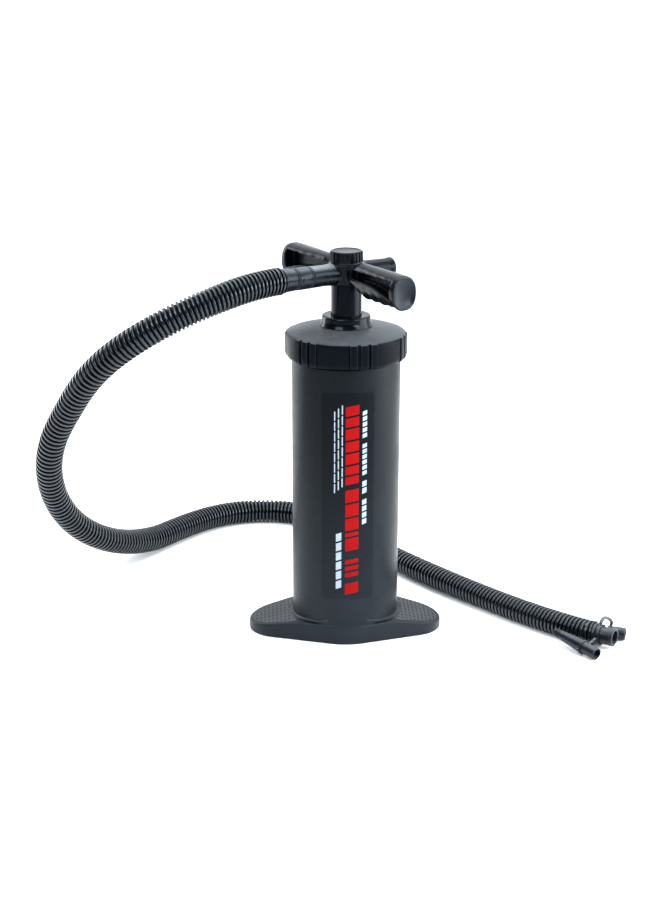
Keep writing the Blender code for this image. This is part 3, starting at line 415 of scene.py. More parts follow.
def make_materials():
    """One material for each slot, for the parts of a piece that have their own look, and for painted shade in
    pockets and grooves and a painted-light copy on the handle.
    """
    matt = {"bump": 0.10, "grain": 1500.0}
    glossy = {"bump": 0.05, "grain": 1200.0}
    slick = {"bump": 0.03, "grain": 1200.0, "edge_wear_and_glint": 0.0}
    ink = {"bump": 0.04, "grain": 1800.0, "edge_wear_and_glint": 0.0}
    return {
        "barrel": plastic(
            "barrel_plastic", (0.0016, 0.0024, 0.0036), 0.36, **matt,
            # low here is a painted reflection of the floor on the barrel's lower part
            specular=0.115, low=(0.0085, 0.0102, 0.0130),
        ),
        "foot": plastic(
            "foot_plastic", (0.0080, 0.0098, 0.0130), 0.38, **matt,
            specular=0.14, painted_top_light=(0.0050, 0.0062, 0.0085),
        ),
        "tread": plastic("tread_plastic", (0.0055, 0.0068, 0.0090), 0.34, **matt, specular=0.13),
        "cap": plastic(
            "cap_plastic", (0.0008, 0.0014, 0.0028), 0.30, bump=0.14, grain=1500.0,
            # the cap's edges carry a strong painted highlight as paler edges
            edge_wear_and_glint=1.0, specular=0.045, painted_top_light=(0.046, 0.050, 0.056),
        ),
        "guide": plastic(
            "guide_plastic", (0.0012, 0.0018, 0.0030), 0.18, bump=0.02, mottle=0.08, specular=0.13
        ),
        "rod": plastic(
            "rod_plastic", (0.0006, 0.0011, 0.0022), 0.15, bump=0.03, mottle=0.08, specular=0.08
        ),
        # painted light: a lighter copy of the grip plastic with a strong top tone, for the end discs and the
        # hose socket
        "handle": plastic(
            "handle_plastic", (0.0028, 0.0038, 0.0056), 0.30, **glossy,
            specular=0.18, painted_top_light=(0.110, 0.120, 0.134),
        ),
        "grip": plastic(
            "grip_plastic", (0.0012, 0.0018, 0.0030), 0.24, **glossy,
            specular=0.11, painted_top_light=(0.0060, 0.0072, 0.0090),
        ),
        # painted shade: the grips' side pockets take a darker copy of the grip plastic
        "pocket": plastic("painted_pocket_shade", (0.0006, 0.0009, 0.0016), 0.30, **slick, specular=0.06),
        "knob": plastic(
            "knob_plastic", (0.0012, 0.0018, 0.0030), 0.22, **glossy,
            edge_wear_and_glint=0.8, specular=0.085, painted_top_light=(0.0050, 0.0060, 0.0075),
        ),
        "inner_plastic": plastic("inner_plastic", (0.30, 0.31, 0.32), 0.42, bump=0.06),
        "rubber": plastic("rubber", (0.016, 0.016, 0.018), 0.68, bump=0.12, edge_wear_and_glint=0.15, specular=0.35),
        "screw": steel("screw_steel"),
        "fitting": plastic(
            "fitting_plastic", (0.0040, 0.0052, 0.0076), 0.27, **glossy,
            specular=0.22, painted_top_light=(0.036, 0.040, 0.046),
        ),
        "hose": plastic("hose_plastic", (0.0010, 0.0016, 0.0028), 0.17, **slick, specular=0.48),
        # painted shade: the hose's grooves take a darker plastic
        "groove": plastic("painted_groove_shade", (0.0004, 0.0006, 0.0010), 0.40, **slick, specular=0.04),
        "strap": plastic(
            "strap_plastic", (0.050, 0.058, 0.056), 0.34, bump=0.03, mottle=0.06, specular=0.25
        ),
        "panel": plastic(
            "label_panel", (0.0008, 0.0012, 0.0020), 0.34, bump=0.03, grain=1500.0,
            # low here is a painted reflection of the floor on the label's lower part
            mottle=0.06, edge_wear_and_glint=0.0, specular=0.08, low=(0.0078, 0.0094, 0.0122),
        ),
        "red_ink": plastic("label_red", (0.24, 0.0016, 0.0014), 0.42, **ink, mottle=0.08, specular=0.06),
        "white_ink": plastic("label_white", (0.28, 0.34, 0.38), 0.42, **ink, mottle=0.06),
    }


# --- mesh helpers ---
def link(name, mesh, material, sharp_deg=38.0):
    """Makes the object of a finished mesh, smooth with sharp edges, in its material."""
    mesh.name = name
    mesh.shade_smooth()
    mesh.set_sharp_from_angle(angle=math.radians(sharp_deg))
    mesh.materials.clear()
    mesh.materials.append(material)
    thing = bpy.data.objects.new(name, mesh)
    bpy.context.scene.collection.objects.link(thing)
    return thing


def mesh_of_form(name, form):
    """The finished mesh of a bmesh, its normals outward."""
    bmesh.ops.recalc_face_normals(form, faces=form.faces)
    mesh = bpy.data.meshes.new(name)
    form.to_mesh(mesh)
    form.free()
    return mesh


def along(origin, direction):
    """The placement of a shape whose own Z runs along direction from origin (mm)."""
    turn = Vector(direction).normalized().to_track_quat("Z", "Y").to_matrix().to_4x4()
    return Matrix.Translation(Vector(origin) * MM) @ turn


def rounded(profile, closed, steps=3):
    """The profile with each corner (radius, height, round) replaced by a curve that long on each side."""
    count = len(profile)
    found = []
    for i, corner in enumerate(profile):
        here = Vector(corner[:2])
        size = corner[2] if len(corner) > 2 else 0.0
        if size == 0.0 or (not closed and i in (0, count - 1)):
            found.append(tuple(here))
            continue
        before = Vector(profile[(i - 1) % count][:2]) - here
        after = Vector(profile[(i + 1) % count][:2]) - here
        reach = min(size, 0.48 * before.length, 0.48 * after.length)
        start = here + before.normalized() * reach
        end = here + after.normalized() * reach
        for k in range(steps + 1):
            t = k / steps
            found.append(tuple(start * (1 - t) ** 2 + here * 2 * t * (1 - t) + end * t * t))
    return found


def skin_mesh(name, rings, loop=False, caps=True, place=None):
    """A skin over rings of points in metres; a ring of one point is a tip. loop joins the last ring
    to the first, and caps close the first and the last."""
    place = place or Matrix.Identity(4)
    form = bmesh.new()
    rows = [[form.verts.new(place @ Vector(point)) for point in ring] for ring in rings]
    pairs = list(zip(rows, rows[1:]))
    if loop:
        pairs.append((rows[-1], rows[0]))
    for first, second in pairs:
        count = max(len(first), len(second))
        for k in range(count):
            n = (k + 1) % count
            corners = [first[i % len(first)] for i in (k, n)] + [second[i % len(second)] for i in (n, k)]
            unique = list(dict.fromkeys(corners))
            if len(unique) > 2:
                form.faces.new(unique)
    if caps:
        form.faces.new(rows[0])
        form.faces.new(rows[-1])
    return mesh_of_form(name, form)


def lathe_mesh(name, profile, segments=96, frame_matrix=None, closed=False, wave=None):
    """A turned shape in mm. wave(angle, radius, height) gives what is added to the radius there."""
    rings = []
    for radius, height in rounded(profile, closed):
        if radius < 1e-6:
            rings.append([Vector((0.0, 0.0, height * MM))])
            continue
        ring = []
        for k in range(segments):
            angle = math.tau * k / segments
            r = radius + (wave(angle, radius, height) if wave else 0.0)
            ring.append(Vector((r * math.cos(angle), r * math.sin(angle), height)) * MM)
        rings.append(ring)
    return skin_mesh(name, rings, closed, False, frame_matrix)


def lathe(name, profile, material, segments=96, frame_matrix=None, closed=False, wave=None):
    """The object of a turned shape, in its material."""
    return link(name, lathe_mesh(name, profile, segments, frame_matrix, closed, wave), material)


def boolean_mesh(base, others, operation):
    """The mesh of base joined with, or cut by, the other meshes at once."""
    holder = bpy.data.collections.new("operands")
    bpy.context.scene.collection.children.link(holder)
    main = bpy.data.objects.new("operand", base)
    bpy.context.scene.collection.objects.link(main)
    made = []
    for mesh in others:
        other = bpy.data.objects.new("operand", mesh)
        holder.objects.link(other)
        made.append(other)
    step = main.modifiers.new("step", "BOOLEAN")
    step.operation = operation
    step.solver = "EXACT"
    step.operand_type = "COLLECTION"
    step.collection = holder
    mesh = evaluated_mesh(main)
    for thing in (*made, main):
        bpy.data.objects.remove(thing, do_unlink=True)
    bpy.data.collections.remove(holder)
    return mesh


def evaluated_mesh(thing):
    """A new mesh of the object as its modifiers leave it."""
    bpy.context.view_layer.update()
    evaluated = thing.evaluated_get(bpy.context.evaluated_depsgraph_get())
    return bpy.data.meshes.new_from_object(evaluated)


def with_modifiers(mesh, *steps):
    """The mesh after modifiers, each given as (kind, {setting: value})."""
    thing = bpy.data.objects.new("shaped", mesh)
    bpy.context.scene.collection.objects.link(thing)
    for kind, settings in steps:
        step = thing.modifiers.new(kind.lower(), kind)
        for name, value in settings.items():
            setattr(step, name, value)
    result = evaluated_mesh(thing)
    bpy.data.objects.remove(thing, do_unlink=True)
    return result


def prism_mesh(name, outline, low, high, frame_matrix=None):
    """A flat outline of (x, y) in mm, from low to high along its own Z."""
    sections = [[(x, y, z) for x, y in outline] for z in (low, high)]
    return loft_mesh(name, sections, frame_matrix)


def box_mesh(size, centre, frame_matrix=None):
    """A box of that size about centre, both in mm."""
    form = bmesh.new()
    bmesh.ops.create_cube(form, size=1.0)
    place = (frame_matrix or Matrix.Identity(4)) @ Matrix.Translation(Vector(centre) * MM)
    place = place @ Matrix.Diagonal((*(Vector(size) * MM), 1.0))
    bmesh.ops.transform(form, matrix=place, verts=form.verts)
    return mesh_of_form("box", form)


def loft_mesh(name, sections, frame_matrix=None):
    """A skin over rings of points (mm), closed at both ends."""
    rings = [[Vector(point) * MM for point in section] for section in sections]
    return skin_mesh(name, rings, place=frame_matrix)


def smooth_points(route, spacing):
    """Points at about that spacing along the natural cubic spline through the route's points."""
    knots = np.array(route, float)
    steps = np.linalg.norm(np.diff(knots, axis=0), axis=1)
    at = np.concatenate([[0.0], np.cumsum(steps)])
    count = len(knots)
    system = np.zeros((count, count))
    right = np.zeros((count, 3))
    system[0, 0] = 1.0
    system[-1, -1] = 1.0
    for i in range(1, count - 1):
        system[i, i - 1] = steps[i - 1]
        system[i, i] = 2.0 * (steps[i - 1] + steps[i])
        system[i, i + 1] = steps[i]
        rise = (knots[i + 1] - knots[i]) / steps[i] - (knots[i] - knots[i - 1]) / steps[i - 1]
        right[i] = 6.0 * rise
    bend = np.linalg.solve(system, right)
    found = []
    for distance in np.linspace(0.0, at[-1], int(round(at[-1] / spacing)) + 1):
        i = min(int(np.searchsorted(at, distance, side="right")) - 1, count - 2)
        h = steps[i]
        u = (at[i + 1] - distance) / h
        v = (distance - at[i]) / h
        curve = (u**3 - u) * bend[i] + (v**3 - v) * bend[i + 1]
        found.append(u * knots[i] + v * knots[i + 1] + curve * h * h / 6.0)
    return np.array(found)


def relaxed(line, steps):
    """The line with its small waves taken out; its first four and last six points stay where they are."""
    line = line.copy()
    for _ in range(steps):
        line[4:-6] += 0.25 * (line[3:-7] + line[5:-5] - 2.0 * line[4:-6])
    return line


def sweep_mesh(name, centres, radii, segments):
    """A round skin along centres (metres), with that radius at each, its frame carried without twist."""
    tangents = np.gradient(centres, axis=0)
    tangents /= np.linalg.norm(tangents, axis=1)[:, None]
    side = Vector(tangents[0]).orthogonal().normalized()
    rings = []
    for centre, tangent, radius in zip(centres, tangents, radii):
        along_line = Vector(tangent)
        side = (side - along_line * side.dot(along_line)).normalized()
        other = along_line.cross(side)
        ring = []
        for k in range(segments):
            angle = math.tau * k / segments
            offset = side * math.cos(angle) + other * math.sin(angle)
            ring.append(Vector(centre) + offset * float(radius))
        rings.append(ring)
    return skin_mesh(name, rings)


def polar(radius, angle_deg):
    """The x and y of a point at that radius and angle."""
    angle = math.radians(angle_deg)
    return radius * math.cos(angle), radius * math.sin(angle)


def ease(value, low, high):
    """A smooth step from 0 at low to 1 at high."""
    share = min(1.0, max(0.0, (value - low) / (high - low)))
    return share * share * (3.0 - 2.0 * share)


def show(thing, body, slot, *nodes):
    """Puts a finished piece on its body and hides the CAD nodes that it stands for; slot is not used."""
    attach(thing, body)
    if nodes:
        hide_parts(*nodes)
    return thing


def port_frame(side):
    """A frame on the ports' axis: own Z out of the hose port (side -1) or of the stub (side 1)."""
    outward = handle_frame() @ Vector((0.0, float(side), 0.0))
    return along((0.0, 0.0, PORT_Z), outward)


def handle_frame():
    """A frame on the pump's axis, own X along the grips."""
    return Matrix.Rotation(math.radians(HANDLE_TURN_DEG), 4, "Z")


def fitting_heading():
    """The direction in which the hose's end points."""
    return Vector((*polar(1.0, FITTING_HEADING_DEG), 0.0))


def fitting_frame():
    """A frame at the hose's end, own Z out of it."""
    return along(Vector(HOSE_END) / MM + fitting_heading() * HOSE_GAP, fitting_heading())


# --- the hose ---
def rib_radius(share):
    """How far a rib reaches at that share of its pitch: 0 in the groove, 1 on the broad crest."""
    if share < GROOVE_SHARE:
        return 0.0
    across = 2.0 * (share - GROOVE_SHARE) / (1.0 - GROOVE_SHARE) - 1.0
    return math.sqrt(max(0.0, 1.0 - across**4))


def make_hose(materials):
    """The corrugated hose, one piece from the cuff to its end fitting."""
    outward = (port_frame(-1) @ Vector((0.0, 0.0, 1.0)) - port_frame(-1).translation).normalized()
    exit_point = Vector((0.0, 0.0, PORT_Z * MM)) + outward * (CUFF_END + HOSE_GAP) * MM
    line = smooth_points((tuple(exit_point), *HOSE_ROUTE, HOSE_END), HOSE_LINE_SPACING)
    line = relaxed(line, HOSE_RELAX_STEPS)
    straight_start = np.array(Vector(HOSE_END) - fitting_heading() * HOSE_STRAIGHT_END)
    line = np.vstack([line[:-3], straight_start, line[-1]])
    steps = np.linalg.norm(np.diff(line, axis=0), axis=1)
    at = np.concatenate([[0.0], np.cumsum(steps)])
    # Where the skin's rows are along the hose, and at what share of its rib's pitch each one is
    places = [0.0]
    shares = [0.0]
    while True:
        pitch = float(np.interp(places[-1], *zip(*RIB_PITCHES)))
        step = pitch / ROWS_PER_RIB
        if places[-1] + step > at[-1]:
            break
        places.append(places[-1] + step)
        shares.append((shares[-1] + 1.0 / ROWS_PER_RIB) % 1.0)
    places.append(float(at[-1]))
    shares.append(0.0)
    centres = np.stack([np.interp(places, at, line[:, k]) for k in range(3)], axis=1)
    outer = np.interp(places, *zip(*HOSE_RADII))
    centres[:, 2] = np.maximum(centres[:, 2], outer + FLOOR_GAP)
    reach = np.array([rib_radius(share) for share in shares])
    radii = outer - RIB_DEPTH * (1.0 - reach)
    mesh = sweep_mesh("hose", centres, radii, HOSE_SEGMENTS)
    hose = link("hose", mesh, materials["hose"], sharp_deg=80.0)
    mesh.materials.append(materials["groove"])
    # painted shade: faces in the grooves take the darker groove material
    in_groove = 0.5 * (reach[:-1] + reach[1:]) < GROOVE_SHADE_REACH
    slots = np.zeros(len(mesh.polygons), dtype=np.int32)
    slots[: len(in_groove) * HOSE_SEGMENTS] = np.repeat(in_groove.astype(np.int32), HOSE_SEGMENTS)
    mesh.polygons.foreach_set("material_index", slots)
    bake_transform(hose)
    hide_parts("hose_riser", "hose_floor_run")
    return hose, exit_point, centres[::ROWS_PER_RIB]


# --- the hose's end ---
def make_hose_end(materials):
    """The end fitting, its tether ring, the two straps and the two adapters."""
    place = fitting_frame()
    fitting = [
        (6.6, 20.5, 0.3), (8.0, 20.5, 0.4), (8.75, 19.9, 0.4), (8.75, 18.9, 0.2), (8.35, 18.6, 0.2),
        (8.35, 17.9, 0.2), (8.7, 17.6, 0.2), (8.7, 16.6, 0.2), (8.4, 16.3, 0.2), (8.45, 8.4), (8.7, 2.9),
        (10.4, 2.9, 0.4), (10.6, 0.0, 0.3), (6.6, 0.0),
    ]
    pieces = [
        show(
            lathe("end_fitting", fitting, materials["fitting"], 72, place, closed=True),
            "turning_set", "fitting", "hose_end_fitting",
        )
    ]
    ring = [(10.3, 7.6, 0.5), (10.3, 3.4, 0.5), (9.05, 3.4, 0.2), (9.05, 7.6, 0.2)]
    pieces.append(
        show(
            lathe("tether_band", ring, materials["fitting"], 64, place, closed=True),
            "turning_set", "fitting", "tether_ring",
        )
    )
    centre = (place @ Vector((0.0, 0.0, 5.5 * MM))) / MM
    top = centre + Vector((0.0, 0.0, STRAP_ROOT_R))
    across = Vector((*polar(1.0, FITTING_HEADING_DEG - 90.0), 0.0))
    front = centre + across * STRAP_ROOT_R
    short_end = Vector(SHORT_STRAP_END)
    short_route = [top, top + Vector((2.6, 3.4, 2.6)), top + Vector((7.0, 8.6, 1.8))]
    short_route += [short_end + Vector((0.0, -3.0, 3.0)), short_end]
    cone_route = [front, front + Vector((-2.0, -2.6, -0.2)), Vector(CONE_STRAP_END)]
    straps = (("short", short_route, SHORT_STRAP_R), ("cone", cone_route, CONE_STRAP_R))
    for adapter, points, radius in straps:
        line = smooth_points([tuple(point * MM) for point in points], STRAP_SPACING)
        waist = 1.0 - STRAP_WAIST * np.sin(np.linspace(0.0, math.pi, len(line)))
        name = f"{adapter}_adapter_loop"
        strap = link(name, sweep_mesh(name, line, radius * MM * waist, 24), materials["strap"])
        pieces.append(show(strap, "turning_set", "strap", f"{adapter}_adapter_strap"))
    pieces.extend(make_adapters(materials))
    return pieces


def make_adapters(materials):
    """The ribbed cone with the tail that joins it to its strap, and the short adapter."""
    axis = Vector(CONE_END) - Vector(CONE_TIP)
    length = axis.length
    ribs = []
    for k in range(5):
        low = 8.3 - 1.75 * k
        crest = 4.45 - 0.12 * k
        groove = 3.75 - 0.12 * k
        ribs += [(crest, low + 0.9, 0.2), (crest, low + 0.1, 0.2)]
        ribs += [(groove, low - 0.1, 0.15), (groove, low - 0.7, 0.15)]
    collar_low = length - 18.4
    collar_high = length - 16.0
    cone = [
        (5.5, length, 0.4), (5.7, length - 1.2, 0.3), (5.7, collar_high, 0.2), (7.0, collar_high, 0.4),
        (7.0, collar_low, 0.4), (6.2, collar_low, 0.2), (6.0, length - 26.0, 1.0), (4.5, 10.4, 0.6),
        *ribs, (3.2, 0.0, 0.3), (2.4, 0.0, 0.2), (3.0, 9.0), (4.4, collar_low), (4.4, length, 0.2),
    ]
    place = along(CONE_TIP, axis)
    tab = box_mesh((3.4, 2.0, 2.1), (-7.9, 0.0, 0.5 * (collar_low + collar_high)), place)
    tab = with_modifiers(tab, ("BEVEL", {"width": 0.5 * MM, "segments": 3}))
    collar = Vector(CONE_TIP) + axis.normalized() * (0.5 * (collar_low + collar_high))
    reach = Vector(CONE_STRAP_END) - collar
    line = np.array([tuple((collar + reach * share) * MM) for share in (0.42, 0.7, 1.04)])
    tail = sweep_mesh("tail", line, [CONE_STRAP_R * MM] * len(line), 24)
    nozzle = boolean_mesh(lathe_mesh("cone", cone, 56, place, closed=True), [tab, tail], "UNION")
    cone_nozzle = link("cone_nozzle", nozzle, materials["fitting"])
    nozzle.materials.append(materials["strap"])
    beyond_collar = 7.2
    for face in nozzle.polygons:
        if (face.center / MM - collar).dot(reach.normalized()) > beyond_collar:
            face.material_index = 1
    found = [show(cone_nozzle, "cone_adapter", "fitting", "cone_adapter")]
    axis = Vector(SHORT_END) - Vector(SHORT_START)
    length = axis.length
    short = [
        (4.7, length, 0.2), (5.6, length, 0.3), (6.1, length - 0.6, 0.3), (6.1, length - 2.2, 0.2),
        (5.8, length - 2.4, 0.2), (5.8, length - 3.4, 0.2), (6.25, length - 3.6, 0.2), (6.25, 4.2, 0.2),
        (6.5, 4.0, 0.3), (6.5, 0.0, 0.5), (4.7, 0.0, 0.2),
    ]
    found.append(
        show(
            lathe("short_nozzle", short, materials["fitting"], 56, along(SHORT_START, axis), closed=True),
            "short_adapter", "fitting", "short_adapter",
        )
    )
    return found


# --- barrel, foot and label ---
def barrel_radius(z):
    """The barrel's outer radius at that height: it widens a little towards its shoulder."""
    return BARREL_FOOT_R + BARREL_GROWTH * z / BARREL_SHOULDER_Z


def foot_outline(inset, steps=20):
    """The line round the barrel's circle and the two rounded tips, drawn in by inset."""
    boss = FOOT_BOSS_R - inset
    tip = FOOT_TIP_R - inset
    lean = math.degrees(math.acos((boss - tip) / FOOT_TIP_X))
    outline = []
    for start, end, radius, centre in (
        (-lean, lean, tip, FOOT_TIP_X),
        (lean, 180.0 - lean, boss, 0.0),
        (180.0 - lean, 180.0 + lean, tip, -FOOT_TIP_X),
        (180.0 + lean, 360.0 - lean, boss, 0.0),
    ):
        for k in range(steps + 1):
            x, y = polar(radius, start + (end - start) * k / steps)
            outline.append((x + centre, y))
    return outline


def foot_mesh(inset, drop, bottom):
    """The foot's solid shape, with its sides drawn in by inset and its sloped top lowered by drop."""
    ridge_z = FOOT_TIP_HEIGHT + FOOT_SLOPE * (FOOT_HALF_LENGTH - FOOT_RIDGE_X) - drop
    margin = 10.0
    edge_x = FOOT_HALF_LENGTH + margin
    edge_z = FOOT_TIP_HEIGHT - FOOT_SLOPE * margin - drop
    roof = [(-edge_x, edge_z), (-FOOT_RIDGE_X, ridge_z), (FOOT_RIDGE_X, ridge_z), (edge_x, edge_z)]
    roof += [(edge_x, bottom), (-edge_x, bottom)]
    block = prism_mesh("foot", foot_outline(inset), bottom - 5.0, ridge_z + 5.0)
    wedge = prism_mesh("roof", roof, -80.0, 80.0, Matrix.Rotation(math.radians(90.0), 4, "X"))
    return boolean_mesh(block, [wedge], "INTERSECT")


def barrel_clearance(radius, segments):
    """A cylinder of that radius round the barrel's foot, to cut with."""
    return lathe_mesh("clear", [(0.0, 60.0), (radius, 60.0), (radius, -5.0), (0.0, -5.0)], segments)


def make_foot(materials):
    """The foot with rounded edges, a hollow underside with ribs, and a gridded tread on each side."""
    bevel = {"width": 1.5 * MM, "segments": 3, "limit_method": "ANGLE", "angle_limit": math.radians(40.0)}
    solid = with_modifiers(foot_mesh(0.0, 0.0, 0.0), ("BEVEL", bevel))
    clear = barrel_clearance(49.0, 160)
    shell = boolean_mesh(solid, [foot_mesh(3.0, 2.6, -3.0), clear], "DIFFERENCE")
    bars = [box_mesh((2.0, 110.0, 30.0), (x, 0.0, 10.0)) for x in (-75.0, -60.0, 60.0, 75.0)]
    ribs = boolean_mesh(box_mesh((2.0 * FOOT_HALF_LENGTH, 2.0, 30.0), (0.0, 0.0, 10.0)), bars, "UNION")
    ribs = boolean_mesh(ribs, [foot_mesh(1.2, 1.2, 1.0)], "INTERSECT")
    ribs = boolean_mesh(ribs, [clear.copy()], "DIFFERENCE")
    shell = boolean_mesh(shell, [ribs], "UNION")
    show(link("foot", shell, materials["foot"], 42.0), "barrel", "barrel", "barrel")
    for side, name in ((-1, "tread_left"), (1, "tread_right")):
        show(link(name, tread_mesh(side), materials["tread"], 30.0), "barrel", "barrel")


def tread_mesh(side):
    """A grid of fine low bars on one tread, following its slope, kept inside its rounded outline."""
    tilt = math.atan(FOOT_SLOPE)
    base = Matrix.Translation(Vector((side * FOOT_HALF_LENGTH, 0.0, FOOT_TIP_HEIGHT)) * MM)
    base = base @ Matrix.Rotation(side * tilt, 4, "Y")
    long_bars = [
        box_mesh((2.3, 96.0, 2.0 * TREAD_RISE), (-side * distance, 0.0, 0.0), base)
        for distance in np.arange(5.4, 44.0, 3.9)
    ]
    cross_bars = [
        box_mesh((46.0, 6.6, 1.5 * TREAD_RISE), (-side * 22.0, y, 0.0), base)
        for y in np.arange(-36.0, 37.0, 8.0)
    ]
    grid = boolean_mesh(long_bars[0], long_bars[1:] + cross_bars, "UNION")
    inside = prism_mesh("inside", foot_outline(3.6), 0.0, 40.0)
    grid = boolean_mesh(grid, [inside], "INTERSECT")
    return boolean_mesh(grid, [barrel_clearance(54.0, 96)], "DIFFERENCE")


def make_barrel(materials):
    """The barrel, its neck with a thread's ridges, and the lip where it stands on the treads."""
    profile = [
        (0.0, BARREL_FLOOR_Z), (BARREL_BORE_R, BARREL_FLOOR_Z, 1.0), (BARREL_BORE_R, BARREL_RIM_Z, 0.4),
        (50.3, BARREL_RIM_Z, 0.5), (50.3, 283.0), (50.9, 282.3, 0.3), (50.9, 281.5, 0.3), (50.3, 280.8),
        (50.3, 278.6), (50.9, 277.9, 0.3), (50.9, 277.1, 0.3), (50.3, 276.4), (50.3, 269.0, 0.3),
        (barrel_radius(BARREL_SHOULDER_Z), 268.2, 0.5), (barrel_radius(12.0), 12.0),
        (barrel_radius(0.0), 0.0, 0.4), (47.2, 0.0, 0.3), (47.2, 6.0, 0.5), (0.0, 6.0),
    ]
    show(lathe("barrel_tube", profile, materials["barrel"], 180), "barrel", "barrel")
    lip_profile = (
        (50.0, 1.5), (50.7, 1.3), (51.1, 0.8), (51.5, 0.35), (52.0, 0.12), (52.0, -0.8), (50.0, -0.8),
    )
    rings = []
    for angle in np.linspace(0.0, math.tau, 181)[:-1]:
        x = math.cos(angle)
        y = math.sin(angle)
        tread = FOOT_TIP_HEIGHT + FOOT_SLOPE * (FOOT_HALF_LENGTH - 51.0 * abs(x))
        rings.append([Vector((r * x, r * y, tread + lift)) * MM for r, lift in lip_profile])
    lip = skin_mesh("lip", rings, loop=True, caps=False)
    lip = boolean_mesh(lip, [prism_mesh("inside", foot_outline(0.6), -5.0, 60.0)], "INTERSECT")
    show(link("barrel_lip", lip, materials["foot"], 50.0), "barrel", "barrel")


def barrel_patch(name, angles, heights, lifts, material, slant=0.0, corner=0.0):
    """A thin film on the barrel, between two angles (from the label's middle, to the right), two
    heights and two lifts off the barrel. slant is its right side's rise over its left side, and
    corner is how far its corners are drawn in."""
    start, end = (angle + LABEL_TURN_DEG for angle in angles)
    columns = max(2, int(abs(end - start)) + 1)
    rows = max(2, int(abs(heights[1] - heights[0]) / 6.0) + 1)
    rings = []
    for i in range(rows + 1):
        z = heights[0] + (heights[1] - heights[0]) * (i / rows)
        lines = []
        for lift in lifts:
            line = []
            for k in range(columns + 1):
                share = k / columns
                angle = math.radians(start + (end - start) * share)
                height = z + slant * (share - 0.5)
                if i in (0, rows) and k in (0, columns):
                    height += corner if i == 0 else -corner
                r = barrel_radius(height) + lift
                line.append(Vector((r * math.sin(angle), -r * math.cos(angle), height)) * MM)
            lines.append(line)
        inner, outer = lines
        rings.append(inner + outer[::-1])
    return link(name, skin_mesh(name, rings), material, 50.0)


def make_label(materials):
    """A dark film with plain blocks and bars in place of lettering."""
    panel = barrel_patch(
        "label_panel", (-26.5, 30.5), (46.0, 247.0), (0.02, 0.10), materials["panel"], corner=1.5
    )
    show(panel, "barrel", "barrel")
    bars = []
    red_blocks = (
        (52.0, 62.5), (69.0, 73.0), (75.5, 79.5), (82.0, 86.0), (95.0, 107.0), (109.0, 112.5),
        (115.0, 126.5), (128.5, 140.5), (142.5, 154.5), (160.0, 167.5), (169.5, 177.5),
        (179.5, 189.5), (191.5, 201.0), (203.0, 213.5), (215.5, 224.0), (226.0, 235.0),
    )
    for index, heights in enumerate(red_blocks):
        bars.append((f"red_block_{index}", (-0.5, 13.6), heights, 2.4, "red_ink"))
    for start, end, count in ((120.5, 146.0, 4), (150.5, 164.0, 2), (168.5, 200.0, 6), (204.5, 231.5, 5)):
        step = (end - start) / count
        for index in range(count):
            low = start + index * step
            name = f"white_block_{low:.0f}"
            bars.append((name, (17.4, 22.2), (low, low + step - 1.5), 1.4, "white_ink"))
    for index, start in enumerate((-12.6, -8.6, -4.6)):
        low = 151.0 + 3.0 * index
        for part in range(8):
            dash = (low + 10.0 * part, low + 10.0 * part + 8.6)
            bars.append((f"fine_line_{index}_{part}", (start, start + 1.2), dash, 0.0, "white_ink"))
    for index in range(6):
        low = 57.0 + 9.4 * index
        bars.append((f"short_block_{index}", (-10.4, -4.6), (low, low + 7.6), 1.8, "white_ink"))
    for name, angles, heights, slant, ink in bars:
        patch = barrel_patch(name, angles, heights, (0.09, 0.16), materials[ink], slant=slant)
        show(patch, "barrel", "barrel")


# --- cap, guide and rod ---
def from_nearest(value, step):
    """How far value is from the nearest multiple of step, with its sign."""
    return (value + 0.5 * step) % step - 0.5 * step


def cap_wave(angle, radius, height):
    """Three raised bars with grooves between them, in each of six groups round the skirt."""
    if radius < 52.0 or height < CAP_BOTTOM_Z + 0.6 or height > CAP_RIM_Z - 0.15:
        return 0.0
    offset = from_nearest(math.degrees(angle) + CAP_GROUP_TURN_DEG, CAP_GROUP_DEG)
    if abs(offset) > CAP_GROUP_HALF_DEG:
        return 0.0
    from_bar = abs(from_nearest(offset, CAP_BAR_STEP_DEG))
    bar = ease(CAP_BAR_HALF_DEG - from_bar, -0.35, 0.35)
    in_groove = ease(14.9 - abs(offset), 0.0, 0.5) if abs(offset) < 14.6 else 0.0
    return CAP_BAR_HEIGHT * bar - CAP_GROOVE_DEPTH * (1.0 - bar) * in_groove


def make_cap(materials):
    """The screw cap, and the collar in it that guides the rod."""
    profile = [
        (19.8, CAP_CENTRE_Z, 0.3), (26.2, CAP_CENTRE_Z, 2.0), (42.0, 296.9, 6.0), (54.0, 293.9, 1.4),
        (56.0, CAP_RIM_Z - 0.7, 0.7), (56.0, 288.0), (56.0, 281.0), (56.0, 273.6, 0.6), (55.1, 270.6, 0.8),
        (53.6, CAP_BOTTOM_Z, 0.5), (51.5, CAP_BOTTOM_Z, 0.3), (51.5, 289.3, 0.5), (45.6, 289.3, 0.5),
        (19.8, 296.0, 0.3),
    ]
    cap = lathe("cap", profile, materials["cap"], 900, None, closed=True, wave=cap_wave)
    show(cap, "cap", "cap", "screw_cap")
    guide = [
        (14.6, 309.5, 0.5), (21.9, 309.5, 0.7), (22.7, 308.6, 0.5), (23.0, 303.6, 1.4), (24.3, 300.6, 0.9),
        (24.7, 299.75, 0.3), (19.5, 299.7), (19.5, 284.0, 0.4), (14.6, 284.0, 0.3), (14.6, 287.6, 0.2),
        (17.0, 287.6, 0.2), (17.0, 291.4, 0.2), (14.6, 291.4, 0.2),
    ]
    collar = lathe("rod_guide", guide, materials["guide"], 128, None, closed=True)
    show(collar, "cap", "guide", "rod_guide_collar")


